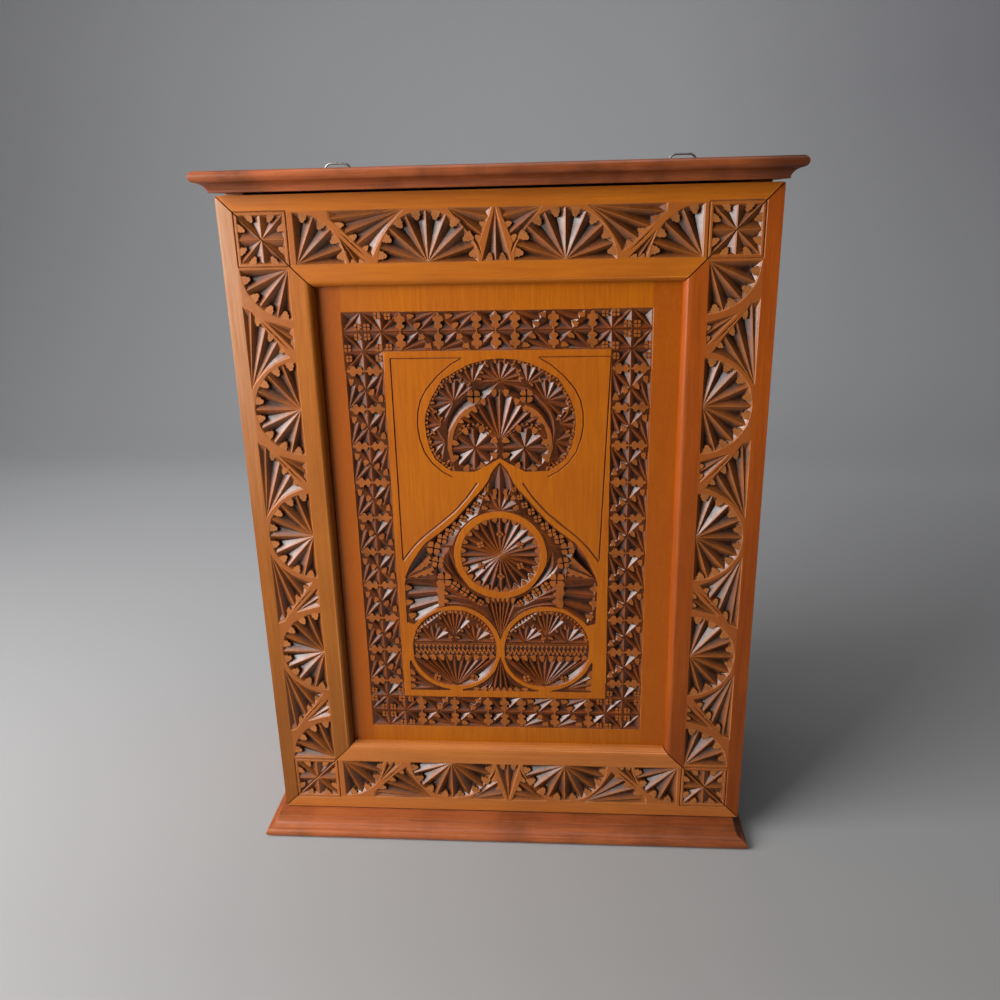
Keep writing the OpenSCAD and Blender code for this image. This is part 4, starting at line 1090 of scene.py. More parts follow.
class Tree:
    """A material's nodes, built up one call at a time."""

    def __init__(self, name: str) -> None:
        """Starts an empty material.

        Args:
            name: Its name.
        """
        self.material = bpy.data.materials.new(name)
        self.material.use_nodes = True
        self.tree = self.material.node_tree
        self.tree.nodes.clear()

    def add(self, kind: str, out: int | str = 0, props: dict[str, object] | None = None,
            **inputs: object) -> bpy.types.NodeSocket:
        """Adds a node and returns one of its outputs.

        Args:
            kind: Node type without its ShaderNode prefix.
            out: Name or number of the output to return.
            props: Values of the node's own settings.
            inputs: Values or links for its inputs, named with _ for a space, or i0, i1 for a numbered one.

        Returns:
            The chosen output socket.
        """
        node = self.tree.nodes.new("ShaderNode" + kind)
        for key, value in (props or {}).items():
            setattr(node, key, value)
        for key, value in inputs.items():
            numbered = key[0] == "i" and key[1:].isdigit()
            socket = node.inputs[int(key[1:]) if numbered else key.replace("_", " ")]
            if isinstance(value, bpy.types.NodeSocket):
                self.tree.links.new(value, socket)
            else:
                socket.default_value = value
        return node.outputs[out]

    def math(self, operation: str, a: object, b: object = 0.0, clamp: bool = False) -> bpy.types.NodeSocket:
        """Adds a Math node."""
        return self.add("Math", 0, {"operation": operation, "use_clamp": clamp}, i0=a, i1=b)

    def span(self, value: object, low: float, high: float, to_low: float = 0.0,
             to_high: float = 1.0) -> bpy.types.NodeSocket:
        """Adds a Map Range node that stays within its ends."""
        return self.add("MapRange", 0, {"clamp": True}, i0=value, i1=low, i2=high, i3=to_low, i4=to_high)

    def product(self, a: object, b: object) -> bpy.types.NodeSocket:
        """Adds a Math node that multiplies."""
        return self.math("MULTIPLY", a, b)

    def total(self, a: object, b: object) -> bpy.types.NodeSocket:
        """Adds a Math node that adds."""
        return self.math("ADD", a, b)

    def part(self, axis: int, place: object) -> bpy.types.NodeSocket:
        """Adds a Separate XYZ node and returns one coordinate: 0 for x, 1 for y, 2 for z."""
        return self.add("SeparateXYZ", axis, None, Vector=place)

    def mix(self, share: object, a: object, b: object, blend: str = "MIX") -> bpy.types.NodeSocket:
        """Adds a colour Mix node."""
        props = {"data_type": "RGBA", "blend_type": blend, "clamp_factor": True}
        return self.add("Mix", 2, props, i0=share, i6=a, i7=b)

    def noise(self, where: object, scale: float, detail: float = 2.0, rough: float = 0.5) -> bpy.types.NodeSocket:
        """Adds a Noise Texture and returns its value."""
        return self.add("TexNoise", 0, None, Vector=where, Scale=scale, Detail=detail, Roughness=rough)

    def finish(self, shader: bpy.types.NodeSocket) -> bpy.types.Material:
        """Links the shader to the output and returns the material."""
        self.tree.links.new(shader, self.tree.nodes.new("ShaderNodeOutputMaterial").inputs["Surface"])
        return self.material


class Grain(Enum):
    """The direction in which a board's grain runs."""

    ACROSS = (1.0, 22.0, 22.0)
    UPRIGHT = (22.0, 22.0, 1.0)


@dataclass(frozen=True)
class CarvedZone:
    """Where a board is carved: the axis across it, the zone's middle, and its near and far edges, in metres."""

    axis: int
    middle: float
    near: float
    far: float

    def off(self, t: Tree, place: object) -> bpy.types.NodeSocket:
        """Returns how far a point lies from the zone's middle."""
        return t.math("ABSOLUTE", t.math("SUBTRACT", t.part(self.axis, place), self.middle))


@dataclass(frozen=True)
class VarnishedWood:
    """Old varnished fruitwood: its colours, its grain, its worn arrises, the dark staining in its cuts, partly grime
    and partly painted shade, and on some boards a painted sheen and painted shade towards the foot.

    Depths, radii and widths are in metres.

    Attributes:
        name: The material's name.
        light: Colour of the light grain.
        dark: Colour of the dark grain.
        grain: Direction of the grain.
        stain_and_shade: Colour of the oldest, darkest places, also the colour of the painted shade in the cuts and at
            the foot.
        ridge: Colour of the ridges and arrises in the carving.
        carved: Colour of the cut wood.
        soil: Colour of the grime on what stands in the carving.
        fade: How much painted shade darkens the board towards its foot, where the lamp's light falls off.
        worn: Colour of the worn arrises.
        wear: How worn they are.
        bloom_and_sheen: Colour of the pale, hazy patch: partly blooming of the varnish, partly a painted sheen of the
            window lamp's reflection.
        bloom_and_sheen_x: Where that patch starts and ends across the board, if there is any.
        bloom_and_sheen_z: Between which heights it grows.
        face_y: Place of a carved board's face.
        zone: Where the board is carved.
        banded: Whether nothing outside the zone counts as a cut.
        deep: Depth at which the staining in the cuts, partly grime and partly painted shade, is full.
        rough: Roughness of the varnish.
        coat: Weight of the gloss on a plain board.
        coat_rough: Roughness of the gloss.
        blotch: How strongly the dark staining clouds the board.
        tail: How much darker the right end is.
        edge: Radius to which the arrises shine round.
        arris: Width of the worn arrises.
        skin: Depths between which a cut's colour begins.
        gloss: Depths between which the gloss in the cuts begins.
        bottom: Depths between which all cuts have ended, from the deeper one.
        ridges: Depths between which the ridge colour turns into that of the cut wood.
        ground: Depths between which the painted shade on the level ground starts, and ends, the latter from the deeper
            one.
        shine: Depths between which the arrises' shine ends, from the deeper one.
        margin: How far past the zone the cuts end, from the outer limit.
        soft: Half the width of the soiled zone's soft edge.
    """

    name: str
    light: Colour
    dark: Colour
    grain: Grain
    stain_and_shade: Colour = (0.020, 0.006, 0.002, 1.0)
    ridge: Colour = (0.36, 0.120, 0.030, 1.0)
    carved: Colour = (0.225, 0.060, 0.008, 1.0)
    soil: Colour = (0.28, 0.078, 0.016, 1.0)
    fade: float = 0.0
    worn: Colour = (0.46, 0.22, 0.10, 1.0)
    wear: float = 0.5
    bloom_and_sheen: Colour = (0.50, 0.36, 0.26, 1.0)
    bloom_and_sheen_x: tuple[float, float] | None = None
    bloom_and_sheen_z: tuple[float, float] = (0.25, 0.48)
    face_y: float | None = None
    zone: CarvedZone | None = None
    banded: bool = False
    deep: float = 0.0034
    rough: float = 0.34
    coat: float = 0.0
    blotch: float = 0.0
    tail: float = 0.0
    coat_rough: float = 0.33
    edge: float = 0.0004
    arris: float = 0.0005
    skin: Point = (0.00003, 0.0001)
    gloss: Point = (0.0006, 0.0009)
    bottom: Point = (0.0056, 0.0053)
    ridges: Point = (0.00036, 0.00052)
    ground: tuple[Point, Point] = ((0.00052, 0.00054), (0.00058, 0.00056))
    shine: Point = (0.0012, 0.0006)
    margin: Point = (0.0035, 0.003)
    soft: float = 0.0006

    def depth(self, t: Tree, place: object) -> bpy.types.NodeSocket:
        """Returns how far a point lies behind the board's face."""
        return t.math("SUBTRACT", t.part(1, place), self.face_y)

    def inside(self, t: Tree, place: object, start: Point) -> bpy.types.NodeSocket:
        """Tells the cuts from the face, the edges and the back.

        Args:
            t: The material's nodes.
            place: Object coordinates.
            start: Depth at which a cut begins, and at which it is one in full.

        Returns:
            1 in the cuts and 0 elsewhere.
        """
        depth = self.depth(t, place)
        mask = t.product(t.span(depth, *start), t.span(depth, *self.bottom))
        if self.banded:
            off, (wide, narrow) = self.zone.off(t, place), self.margin
            mask = t.product(mask, t.span(off, self.zone.near - wide, self.zone.near - narrow))
            mask = t.product(mask, t.span(off, self.zone.far + wide, self.zone.far + narrow))
        return mask

    def cuts(self, t: Tree, place: object, colour: object, arris: object) -> bpy.types.NodeSocket:
        """Colours the carving: bare brown wood in the cuts, and a darkening towards their bottoms and on the level
        ground that is partly grime and partly painted shade.

        Args:
            t: The material's nodes.
            place: Object coordinates.
            colour: The face's colour.
            arris: 1 on the arrises and 0 elsewhere.

        Returns:
            The colour of the face and the cuts.
        """
        depth = self.depth(t, place)
        speck = t.noise(place, 380.0, 4.0, 0.65)
        patch = t.noise(place, 60.0, 2.0)
        inside = self.inside(t, place, self.skin)
        if self.zone is not None:
            off, near, far, soft = self.zone.off(t, place), self.zone.near, self.zone.far, self.soft
            band = t.product(t.span(off, near - soft, near + soft), t.span(off, far + soft, far - soft))
            colour = t.mix(t.product(band, t.span(speck, 0.3, 0.7, 0.45, 0.9)), colour, self.soil)
        bare = t.mix(t.span(depth, *self.ridges), self.ridge, self.carved)
        bare = t.mix(t.span(patch, 0.35, 0.7, 0.0, 0.3), bare, self.stain_and_shade)
        # Painted shade: the level ground and the deeper parts of the cuts darken towards the staining colour, partly as
        # grime, partly in place of the shade in the hollows.
        level = t.product(*(t.span(depth, *limits) for limits in self.ground))
        share = t.total(t.span(depth, 0.0006, self.deep), t.product(level, 0.7))
        share = t.total(share, t.span(speck, 0.3, 0.75, -0.2, 0.2))
        share = t.math("ADD", share, t.span(patch, 0.3, 0.7, -0.12, 0.12), True)
        high = t.product(arris, t.span(depth, *self.shine))
        return t.mix(inside, colour, t.mix(high, t.mix(share, bare, self.stain_and_shade), self.ridge))

    def aged_and_lit(self, t: Tree, place: object, streak: object, colour: object) -> bpy.types.NodeSocket:
        """Adds what lies in one part of a board: a pale patch that is partly blooming and partly painted sheen,
        blotches, a darker right end, and painted shade at the foot.

        Args:
            t: The material's nodes.
            place: Object coordinates.
            streak: The grain's pattern.
            colour: The sound wood's colour.

        Returns:
            The colour with these marks and the painted light.
        """
        if self.bloom_and_sheen_x is not None:
            # Painted sheen: a pale patch at the board's upper outer edge, partly blooming of the varnish, partly
            # standing in for the window lamp's reflection.
            haze_and_sheen = t.product(t.span(t.part(0, place), *self.bloom_and_sheen_x, 0.6, 0.0), t.span(streak, 0.3, 0.7, 1.0, 0.45))
            haze_and_sheen = t.product(haze_and_sheen, t.span(t.part(2, place), *self.bloom_and_sheen_z))
            colour = t.mix(haze_and_sheen, colour, self.bloom_and_sheen)
        if self.blotch:
            cloudy = t.span(t.noise(place, 22.0, 4.0, 0.6), 0.46, 0.66, 0.0, self.blotch)
            colour = t.mix(cloudy, colour, self.stain_and_shade)
            across = t.part(0, place)
            colour = t.mix(t.span(across, -0.06, 0.12, 0.0, self.tail * 0.5), colour, self.stain_and_shade)
            colour = t.mix(t.span(across, 0.155, 0.185, 0.0, self.tail), colour, self.stain_and_shade)
        if self.fade:
            # Painted shade: the board darkens towards its foot, as if the lamp's light fell off there.
            colour = t.mix(t.span(t.part(2, place), 0.44, 0.06, 0.0, self.fade), colour, self.stain_and_shade)
        return colour

    def make(self) -> bpy.types.Material:
        """Builds the material.

        Returns:
            The material.
        """
        t = Tree(self.name)
        place = t.add("TexCoord", "Object")
        along = t.add("Mapping", 0, None, Vector=place, Scale=self.grain.value)
        streak = t.noise(along, 26.0, 5.0, 0.62)
        fine = t.noise(along, 130.0, 3.0, 0.6)
        cloud = t.noise(place, 9.0, 3.0, 0.55)
        tone = t.total(t.product(streak, 0.6), t.product(cloud, 0.5))
        colour = t.mix(t.span(tone, 0.38, 0.74), self.light, self.dark)
        colour = t.mix(t.span(fine, 0.42, 0.72, 0.0, 0.4), colour, self.dark)
        pores = t.span(t.noise(along, 420.0, 2.0, 0.5), 0.62, 0.72, 0.0, 0.35)
        colour = self.aged_and_lit(t, place, streak, t.mix(pores, colour, self.stain_and_shade))
        rounded = t.add("Bevel", 0, {"samples": 4}, Radius=self.edge)
        flat = t.add("NewGeometry", "Normal")
        wide = t.add("Bevel", 0, {"samples": 4}, Radius=self.arris)
        turn = t.span(t.add("VectorMath", "Value", {"operation": "DOT_PRODUCT"}, i0=wide, i1=flat), 0.98, 0.82)
        scuff = t.product(turn, t.span(t.noise(place, 34.0, 4.0, 0.6), 0.42, 0.62, 0.1, 1.0))
        coat = self.coat
        if self.face_y is not None:
            smear = t.span(t.noise(place, 120.0, 3.0), 0.35, 0.6, 0.35, 0.68)
            coat = t.product(self.inside(t, place, self.gloss), smear)
            colour = self.cuts(t, place, colour, turn)
            scuff = t.product(scuff, 0.4)
        colour = t.mix(t.product(scuff, self.wear), colour, self.worn)
        dull = t.total(cloud, t.product(fine, 0.4))
        rough = t.span(dull, 0.45, 0.95, self.rough - 0.06, self.rough + 0.1)
        bump = t.total(t.product(streak, 0.5), t.product(t.noise(place, 240.0, 4.0, 0.6), 0.7))
        normal = t.add("Bump", 0, None, Strength=0.2, Distance=0.0004, Height=bump, Normal=rounded)
        return t.finish(t.add("BsdfPrincipled", 0, None, Base_Color=colour, Roughness=rough, Normal=normal,
                              Specular_IOR_Level=0.24, IOR=1.5, Coat_Weight=coat, Coat_Roughness=self.coat_rough,
                              Coat_IOR=1.62, Coat_Normal=normal))


@dataclass(frozen=True)
class PlainMetal:
    """A small metal part: its colour, its tarnish and its roughness."""

    name: str
    bright: Colour
    tarnish: Colour
    rough: float = 0.35

    def make(self) -> bpy.types.Material:
        """Builds the material.

        Returns:
            The material.
        """
        t = Tree(self.name)
        place = t.add("TexCoord", "Object")
        spots = t.noise(place, 160.0, 4.0, 0.65)
        colour = t.mix(t.span(spots, 0.4, 0.66), self.bright, self.tarnish)
        rough = t.span(spots, 0.3, 0.7, self.rough, self.rough + 0.25)
        normal = t.add("Bump", 0, None, Strength=0.2, Distance=0.0002, Height=t.noise(place, 900.0, 2.0))
        return t.finish(t.add("BsdfPrincipled", 0, None, Base_Color=colour, Roughness=rough, Normal=normal,
                              Metallic=0.95))


@dataclass(frozen=True)
class Plan:
    """What one carved board of the door is made from: its CAD node, its knife work, its grain and its tones.

    Attributes:
        node: The CAD node that it replaces.
        carving: Its knife work.
        grain: Direction of its grain.
        light: Colour of the light grain.
        dark: Colour of the dark grain.
        fade: How much painted shade darkens it towards its foot.
        zone: Where it is carved.
        tones: What else differs from the usual finish.
    """

    node: str
    carving: Carving
    grain: Grain
    light: Colour
    dark: Colour
    fade: float
    zone: CarvedZone
    tones: dict[str, object]


@dataclass
class CarvedDoor:
    """The door's frame members and panel with their carving, in mm.

    Attributes:
        door_x: Place of the door's own middle.
        door_z: Place of its foot.
        square_x: Distance of the corner stars from the middle, and how much further right the right ones lie.
        square_z: Heights of the corner stars.
        half_w: Half the door's width.
        height: Its height.
        inner: Distance of the stiles' bands from the middle.
        rail_low: Height of the bottom rail's band, where it starts.
        rail_high: Height of the top rail's band, where it starts.
        rail_inner: Distance of the rails' bands from half the height.
        rail_middle: Where the rails' patterns have their middle.
        rail_first: Distance from there to the first fan.
        rail_pitch: Distance between a rail's fans.
        stile_middle: Height at which the stiles' patterns have their middle.
        stile_pitch: Distance between a stile's fans.
        border_x: Where the panel's border has its middle.
        border_zone: Where the border starts and ends, from its middle.
        shadow_groove: Outline of the dark groove at the panel's left edge, a painted shadow where the left stile's
            shade falls on the panel.
        shadow_groove_deep: How deep that groove is.
        crisp: Angle in degrees above which an edge stays sharp.
    """

    door_x: float = 2.0
    door_z: float = 16.3
    square_x: Point = (160.4, 0.4)
    square_z: Point = (28.0, 464.8)
    half_w: float = 190.0
    height: float = 494.0
    inner: float = 144.0
    rail_low: float = 45.9
    rail_high: float = 447.6
    rail_inner: float = 201.0
    rail_middle: float = 0.9
    rail_first: float = 46.9
    rail_pitch: float = 91.3
    stile_middle: float = 246.8
    stile_pitch: float = 98.9
    border_x: float = -1.3
    border_zone: Point = (109.8, 200.0)
    shadow_groove: tuple[Point, ...] = ((-134.0, 52.0), (-127.8, 52.0), (-127.4, 240.0), (-127.9, 442.0), (-134.0, 442.0))
    shadow_groove_deep: float = 3.2
    crisp: float = 16.0
    band: BandPattern = field(default_factory=BandPattern)
    square: CornerSquare = field(default_factory=CornerSquare)
    border: BorderPattern = field(default_factory=BorderPattern)
    motif: PanelMotif = field(default_factory=PanelMotif)

    def lay(self, x: float, z: float, along: Point = LEVEL, out: Point = UP) -> Lay:
        """Returns a lay from the door's own coordinates."""
        return Lay(self.door_x + x, self.door_z + z, along, out)

    def squares(self, c: Carving) -> None:
        """Cuts the four corner stars; each board keeps the part that falls on it.

        Args:
            c: The board's knife work.
        """
        x, shift = self.square_x
        for place in (-x, x + shift):
            for z in self.square_z:
                self.square.carve(c, self.lay(place, z))

    def level(self, c: Carving, origin: Point, across: Point, along: Point, length: float) -> None:
        """Fills the plain cuts of a CAD board, up to its face.

        Args:
            c: The board's knife work.
            origin: The outer corner from which the board starts.
            across: Direction from the outer edge to the opening.
            along: Direction along the board.
            length: The board's length along its outer edge.
        """
        lay = self.lay(*origin, along, across)
        near, far, gap, deep = 9.0, 50.0, 0.58, 5.5
        ends = [(near + gap, near), (length - near - gap, near), (length - far - gap, far), (far + gap, far)]
        c.fill(lay, ends, deep)

    def stile(self, side: int) -> Carving:
        """Carves a stile.

        Args:
            side: -1 for the left one and 1 for the right one.

        Returns:
            Its knife work.
        """
        c = Carving(seed=11 + side)
        self.level(c, (side * self.half_w, 0.0), (-float(side), 0.0), (0.0, 1.0), self.height)
        for up in (1.0, -1.0):
            lay = self.lay(side * self.inner, self.stile_middle, (0.0, up), (float(side), 0.0))
            self.band.half(c, lay, 0.0, self.stile_pitch, 2)
        self.squares(c)
        return c

    def rail(self, z: float, out: float) -> Carving:
        """Carves a rail.

        Args:
            z: Height at which its band starts.
            out: 1 where its fans open upward and -1 where they open downward.

        Returns:
            Its knife work.
        """
        c = Carving(seed=int(20 + 3 * out))
        self.level(c, (-self.half_w, self.height * (out > 0)), (0.0, -out), LEVEL, 2 * self.half_w)
        for along in (1.0, -1.0):
            lay = self.lay(self.rail_middle, z, (along, 0.0), (0.0, out))
            self.band.half(c, lay, self.rail_first, self.rail_pitch, 1)
        self.band.middle_pair(c, self.lay(self.rail_middle, z, LEVEL, (0.0, out)))
        self.squares(c)
        return c

    def panel(self) -> Carving:
        """Carves the panel.

        Returns:
            Its knife work.
        """
        c = Carving(seed=7)
        self.border.carve(c, self.lay(self.border_x, 0.0))
        self.motif.carve(c, self.lay(0.0, 0.0))
        # A dark groove at the panel's left edge: a painted shadow where the left stile's shade falls.
        c.ground(self.lay(0.0, 0.0), self.shadow_groove, self.shadow_groove_deep)
        return c

    def blank(self, node: str, name: str) -> bpy.types.Object:
        """Makes an uncarved board that fills a CAD node's box.

        Args:
            node: The node.
            name: Name of the board.

        Returns:
            The board.
        """
        low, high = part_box(node)
        bpy.ops.object.select_all(action="DESELECT")
        bpy.ops.mesh.primitive_cube_add(size=1, location=(low + high) / 2)
        board = bpy.context.object
        board.name = name
        board.scale = high - low
        bpy.ops.object.transform_apply(location=True, rotation=True, scale=True)
        tiled(board, PANEL_TILE)
        return board

    def plans(self) -> tuple[Plan, ...]:
        """Carves the five boards, in order.

        Returns:
            The boards' plans.
        """
        x, z = self.door_x * MM, (self.door_z + self.stile_middle) * MM
        wide = self.band.width * MM
        stiles = CarvedZone(0, x, self.inner * MM, self.inner * MM + wide)
        rails = CarvedZone(2, z, self.rail_inner * MM, self.rail_inner * MM + wide)
        border = CarvedZone(0, (self.door_x + self.border_x) * MM, *(edge * MM for edge in self.border_zone))
        # The left stile gets the pale patch with its painted sheen.
        hazy_and_sheened = {"bloom_and_sheen_x": (-0.19, -0.155), "banded": True}
        brown = {"soil": (0.29, 0.058, 0.003, 1.0), "ridge": (0.29, 0.079, 0.013, 1.0),
                 "carved": (0.180, 0.037, 0.003, 1.0), "deep": 0.0026}
        # The number after each plan's two colours is how much painted shade darkens the board towards its foot.
        return (Plan("left_stile", self.stile(-1), Grain.UPRIGHT, (0.43, 0.140, 0.016, 1.0),
                     (0.29, 0.078, 0.007, 1.0), 0.50, stiles, hazy_and_sheened),
                Plan("right_stile", self.stile(1), Grain.UPRIGHT, (0.37, 0.078, 0.006, 1.0),
                     (0.22, 0.038, 0.003, 1.0), 0.34, stiles, {"banded": True}),
                Plan("top_rail", self.rail(self.rail_high, 1.0), Grain.ACROSS, (0.46, 0.132, 0.009, 1.0),
                     (0.32, 0.080, 0.005, 1.0), 0.0, rails, {"banded": True}),
                Plan("bottom_rail", self.rail(self.rail_low, -1.0), Grain.ACROSS, (0.45, 0.145, 0.028, 1.0),
                     (0.31, 0.090, 0.018, 1.0), 0.0, rails, {"banded": True}),
                Plan("panel", self.panel(), Grain.UPRIGHT, (0.46, 0.128, 0.002, 1.0),
                     (0.30, 0.066, 0.002, 1.0), 0.16, border, brown))

    def shade(self, board: bpy.types.Object) -> None:
        """Smooths the curved flanks of the carving and keeps the face and every crisp facet flat.

        Args:
            board: The carved board.
        """
        only(board)
        bpy.ops.object.shade_smooth_by_angle(angle=math.radians(self.crisp))
        corners = [corner.vector.copy() for corner in board.data.corner_normals]
        smooth = [face.normal.y > -0.999 and all(corners[i].dot(face.normal) > 0.9 for i in face.loop_indices)
                  for face in board.data.polygons]
        board.data.polygons.foreach_set("use_smooth", smooth)

    def build(self) -> list[bpy.types.Object]:
        """Builds the five carved boards.

        Returns:
            The boards, each riding on the door.
        """
        boards = []
        for plan in self.plans():
            make = self.blank if plan.node == "panel" else copy_of
            board = make(plan.node, "carved_" + plan.node)
            face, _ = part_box(plan.node)
            plan.carving.cut(board, face.y)
            finish = VarnishedWood("honey_" + plan.node, plan.light, plan.dark, plan.grain, face_y=face.y,
                                   zone=plan.zone, fade=plan.fade, edge=0.00014, **plan.tones)
            board.data.materials.clear()
            board.data.materials.append(finish.make())
            self.shade(board)
            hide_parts(plan.node)
            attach(board, "door")
            boards.append(board)
        return boards


@dataclass(frozen=True)
class Dressing:
    """The finishes of the CAD pieces that stay as they are, with the words in the pieces' names.

    Attributes:
        nails: Words of the steel nails.
        wires: Words of the wire loops.
        brasses: Words of the brass fittings.
        uprights: Words of the boards with upright grain.
    """

    nails: tuple[str, ...] = ("nails", "brads")
    wires: tuple[str, ...] = ("loop",)
    brasses: tuple[str, ...] = ("hinge", "catch", "striker", "hanger", "screws")
    uprights: tuple[str, ...] = ("left_side", "right_side", "mitre_keys", "panel_slip_left", "panel_slip_right",
                                 "back_board")

    def dress(self) -> None:
        """Gives each remaining CAD node its finish: the first whose words its name holds, or the last."""
        red = VarnishedWood("reddish_wood", (0.40, 0.100, 0.026, 1.0), (0.17, 0.036, 0.010, 1.0), Grain.ACROSS,
                            worn=(0.40, 0.16, 0.065, 1.0), wear=0.7, rough=0.33, coat=0.12, coat_rough=0.2, edge=0.0008,
                            blotch=0.5, tail=0.6).make()
        base = VarnishedWood("reddish_base", (0.40, 0.108, 0.030, 1.0), (0.21, 0.050, 0.016, 1.0), Grain.ACROSS,
                             worn=(0.46, 0.19, 0.08, 1.0), wear=0.7, rough=0.33, coat=0.08, coat_rough=0.2, edge=0.0008,
                             blotch=0.35, tail=0.25).make()
        upright = VarnishedWood("case_upright", (0.36, 0.12, 0.036, 1.0), (0.22, 0.062, 0.02, 1.0), Grain.UPRIGHT,
                                rough=0.42, wear=0.4).make()
        across = VarnishedWood("case_across", (0.38, 0.14, 0.045, 1.0), (0.24, 0.075, 0.026, 1.0), Grain.ACROSS,
                               rough=0.46, wear=0.4).make()
        brass = PlainMetal("aged_brass", (0.48, 0.33, 0.12, 1.0), (0.16, 0.10, 0.045, 1.0)).make()
        wire = PlainMetal("wire_steel", (0.32, 0.31, 0.29, 1.0), (0.10, 0.08, 0.065, 1.0)).make()
        nail = PlainMetal("nail_steel", (0.22, 0.20, 0.18, 1.0), (0.08, 0.05, 0.035, 1.0), 0.45).make()
        finishes = ((self.nails, nail), (self.wires, wire), (self.brasses, brass), (("cornice_board",), red),
                    (("base_board",), base), (self.uprights, upright), (("",), across))
        for name, node in frame["nodes"].items():
            finish = next(finish for words, finish in finishes if any(word in name for word in words))
            for index in range(max(1, len(node.material_slots))):
                if index >= len(node.data.materials):
                    node.data.materials.append(finish)
                else:
                    node.data.materials[index] = finish
            LOG.info("%s: %s", name, finish.name)


@dataclass(frozen=True)
class Lamp:
    """A soft rectangular lamp: its name, its place, its width and height in metres, and its power in watts."""

    name: str
    at: Spot
    size: Point
    power: float

    def hang(self, aim: Spot) -> None:
        """Hangs the lamp.

        Args:
            aim: The point that it faces.
        """
        bpy.ops.object.light_add(type="AREA", location=self.at)
        lamp = bpy.context.object
        lamp.name = self.name
        lamp.data.shape = "RECTANGLE"
        lamp.data.size, lamp.data.size_y = self.size
        lamp.data.energy = self.power
        lamp.rotation_euler = (Vector(aim) - Vector(self.at)).to_track_quat("-Z", "Y").to_euler()


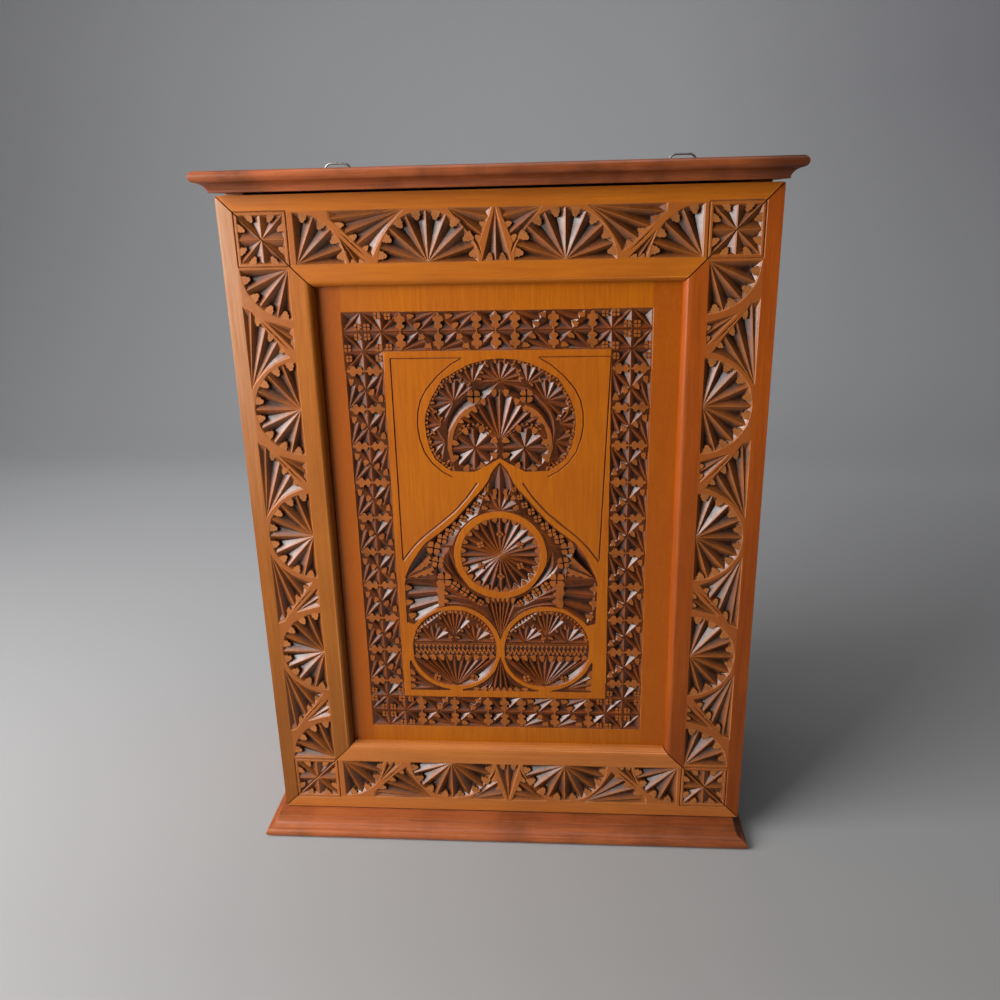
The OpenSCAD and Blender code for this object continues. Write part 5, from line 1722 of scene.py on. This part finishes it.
@dataclass(frozen=True)
class Studio:
    """The floor with its curved backdrop, the lamps and the camera, in metres.

    Attributes:
        floor_front: Where the floor starts.
        floor_back: Where it turns up.
        bend: Radius of the turn.
        height: Top of the backdrop.
        half_width: Half the floor's width.
        near_paper: Colour of the floor before the cabinet.
        far_paper: Colour of the backdrop.
        mottle: What the paper's faint mottling multiplies its colour by.
        dusk: The same for the shade at the upper right.
        glow: Strength of the light that the backdrop shows to the camera alone.
        aim: The point that the lamps face.
        lamps: A window at the left, and a ceiling that throws little light.
        sky: Colour of the light from all round.
        sky_power: Its strength.
        eye: The camera's place.
        lens: Its lens, and the width of its film, in mm.
        axes: Its right, up and back directions.
    """

    floor_front: float = -2.2
    floor_back: float = 1.1
    bend: float = 0.9
    height: float = 2.6
    half_width: float = 9.0
    near_paper: Colour = (0.285, 0.28, 0.276, 1.0)
    far_paper: Colour = (0.45, 0.454, 0.468, 1.0)
    mottle: Colour = (0.93, 0.93, 0.93, 1.0)
    dusk: Colour = (0.60, 0.59, 0.64, 1.0)
    glow: float = 0.06
    aim: Spot = (0.0, -0.07, 0.27)
    lamps: tuple[Lamp, ...] = (Lamp("window", (-0.98, -0.66, 0.68), (1.05, 0.95), 35.0),
                               Lamp("ceiling", (-0.1, -0.15, 1.6), (1.0, 1.0), 7.0))
    sky: Colour = (0.80, 0.83, 0.88, 1.0)
    sky_power: float = 0.08
    eye: Spot = (0.04906, -0.68739, 0.50025)
    lens: Point = (31.584, 36.0)
    axes: tuple[Spot, Spot, Spot] = ((0.997324, 0.069485, -0.022732), (-0.000687, 0.319819, 0.947478),
                                     (0.073105, -0.944927, 0.319011))

    def paper(self) -> bpy.types.Material:
        """Builds the paper of the floor and backdrop.

        Returns:
            The material.
        """
        t = Tree("studio_paper")
        place = t.add("TexCoord", "Object")
        back = t.span(t.part(1, place), -0.2, 0.9)
        paper = t.mix(back, self.near_paper, self.far_paper)
        shade = t.mix(t.noise(place, 1.4, 2.0), paper, t.mix(1.0, paper, self.mottle, "MULTIPLY"))
        upper_right = t.product(t.span(t.part(0, place), 0.35, 1.3), t.span(t.part(2, place), 0.1, 0.8))
        shade = t.mix(upper_right, shade, t.mix(1.0, shade, self.dusk, "MULTIPLY"))
        glow = t.product(t.product(back, self.glow), t.add("LightPath", "Is Camera Ray"))
        return t.finish(t.add("BsdfPrincipled", 0, None, Base_Color=shade, Roughness=0.75,
                              Emission_Color=(1.0, 1.0, 1.02, 1.0), Emission_Strength=glow))

    def floor(self) -> None:
        """Makes the floor that turns up into the backdrop."""
        bpy.ops.object.select_all(action="DESELECT")
        bpy.ops.mesh.primitive_plane_add(size=1)
        floor = bpy.context.object
        floor.name = "floor"
        profile = [(self.floor_front, 0.0), (self.floor_back, 0.0)]
        profile += [(self.floor_back + self.bend * math.sin(a), self.bend * (1 - math.cos(a)))
                    for a in (math.radians(9 * k) for k in range(1, 11))]
        profile.append((self.floor_back + self.bend, self.height))
        corners = [(x, y, z) for y, z in profile for x in (-self.half_width, self.half_width)]
        faces = [(2 * i, 2 * i + 1, 2 * i + 3, 2 * i + 2) for i in range(len(profile) - 1)]
        mesh = bpy.data.meshes.new("floor")
        mesh.from_pydata(corners, [], faces)
        floor.data = mesh
        only(floor)
        bpy.ops.object.shade_smooth_by_angle(angle=math.radians(40))
        floor.data.materials.append(self.paper())

    def lights(self) -> None:
        """Lights the cabinet softly from the upper left and from above."""
        for lamp in self.lamps:
            lamp.hang(self.aim)
        world = bpy.data.worlds.new("studio")
        bpy.context.scene.world = world
        world.use_nodes = True
        background = world.node_tree.nodes["Background"]
        background.inputs["Color"].default_value = self.sky
        background.inputs["Strength"].default_value = self.sky_power

    def camera(self) -> None:
        """Sets up the camera at the photograph's viewing angle."""
        bpy.ops.object.camera_add(location=self.eye)
        camera = bpy.context.object
        camera.data.lens, camera.data.sensor_width = self.lens
        camera.rotation_euler = Matrix(self.axes).transposed().to_euler()
        camera.data.clip_start, camera.data.clip_end = 0.02, 30.0
        bpy.context.scene.camera = camera

    def build(self) -> None:
        """Sets up the whole studio."""
        self.floor()
        self.lights()
        self.camera()
        bpy.context.scene.view_settings.view_transform = "Standard"
        LOG.info("studio: floor, %d lamps and camera", len(self.lamps))


def main() -> None:
    """Builds and dresses the cabinet and its studio."""
    logging.basicConfig(level=logging.INFO, format="%(message)s")
    Dressing().dress()
    for board in CarvedDoor().build():
        LOG.info("%s: %d faces", board.name, len(board.data.polygons))
    Studio().build()


if __name__ == "__main__":
    main()
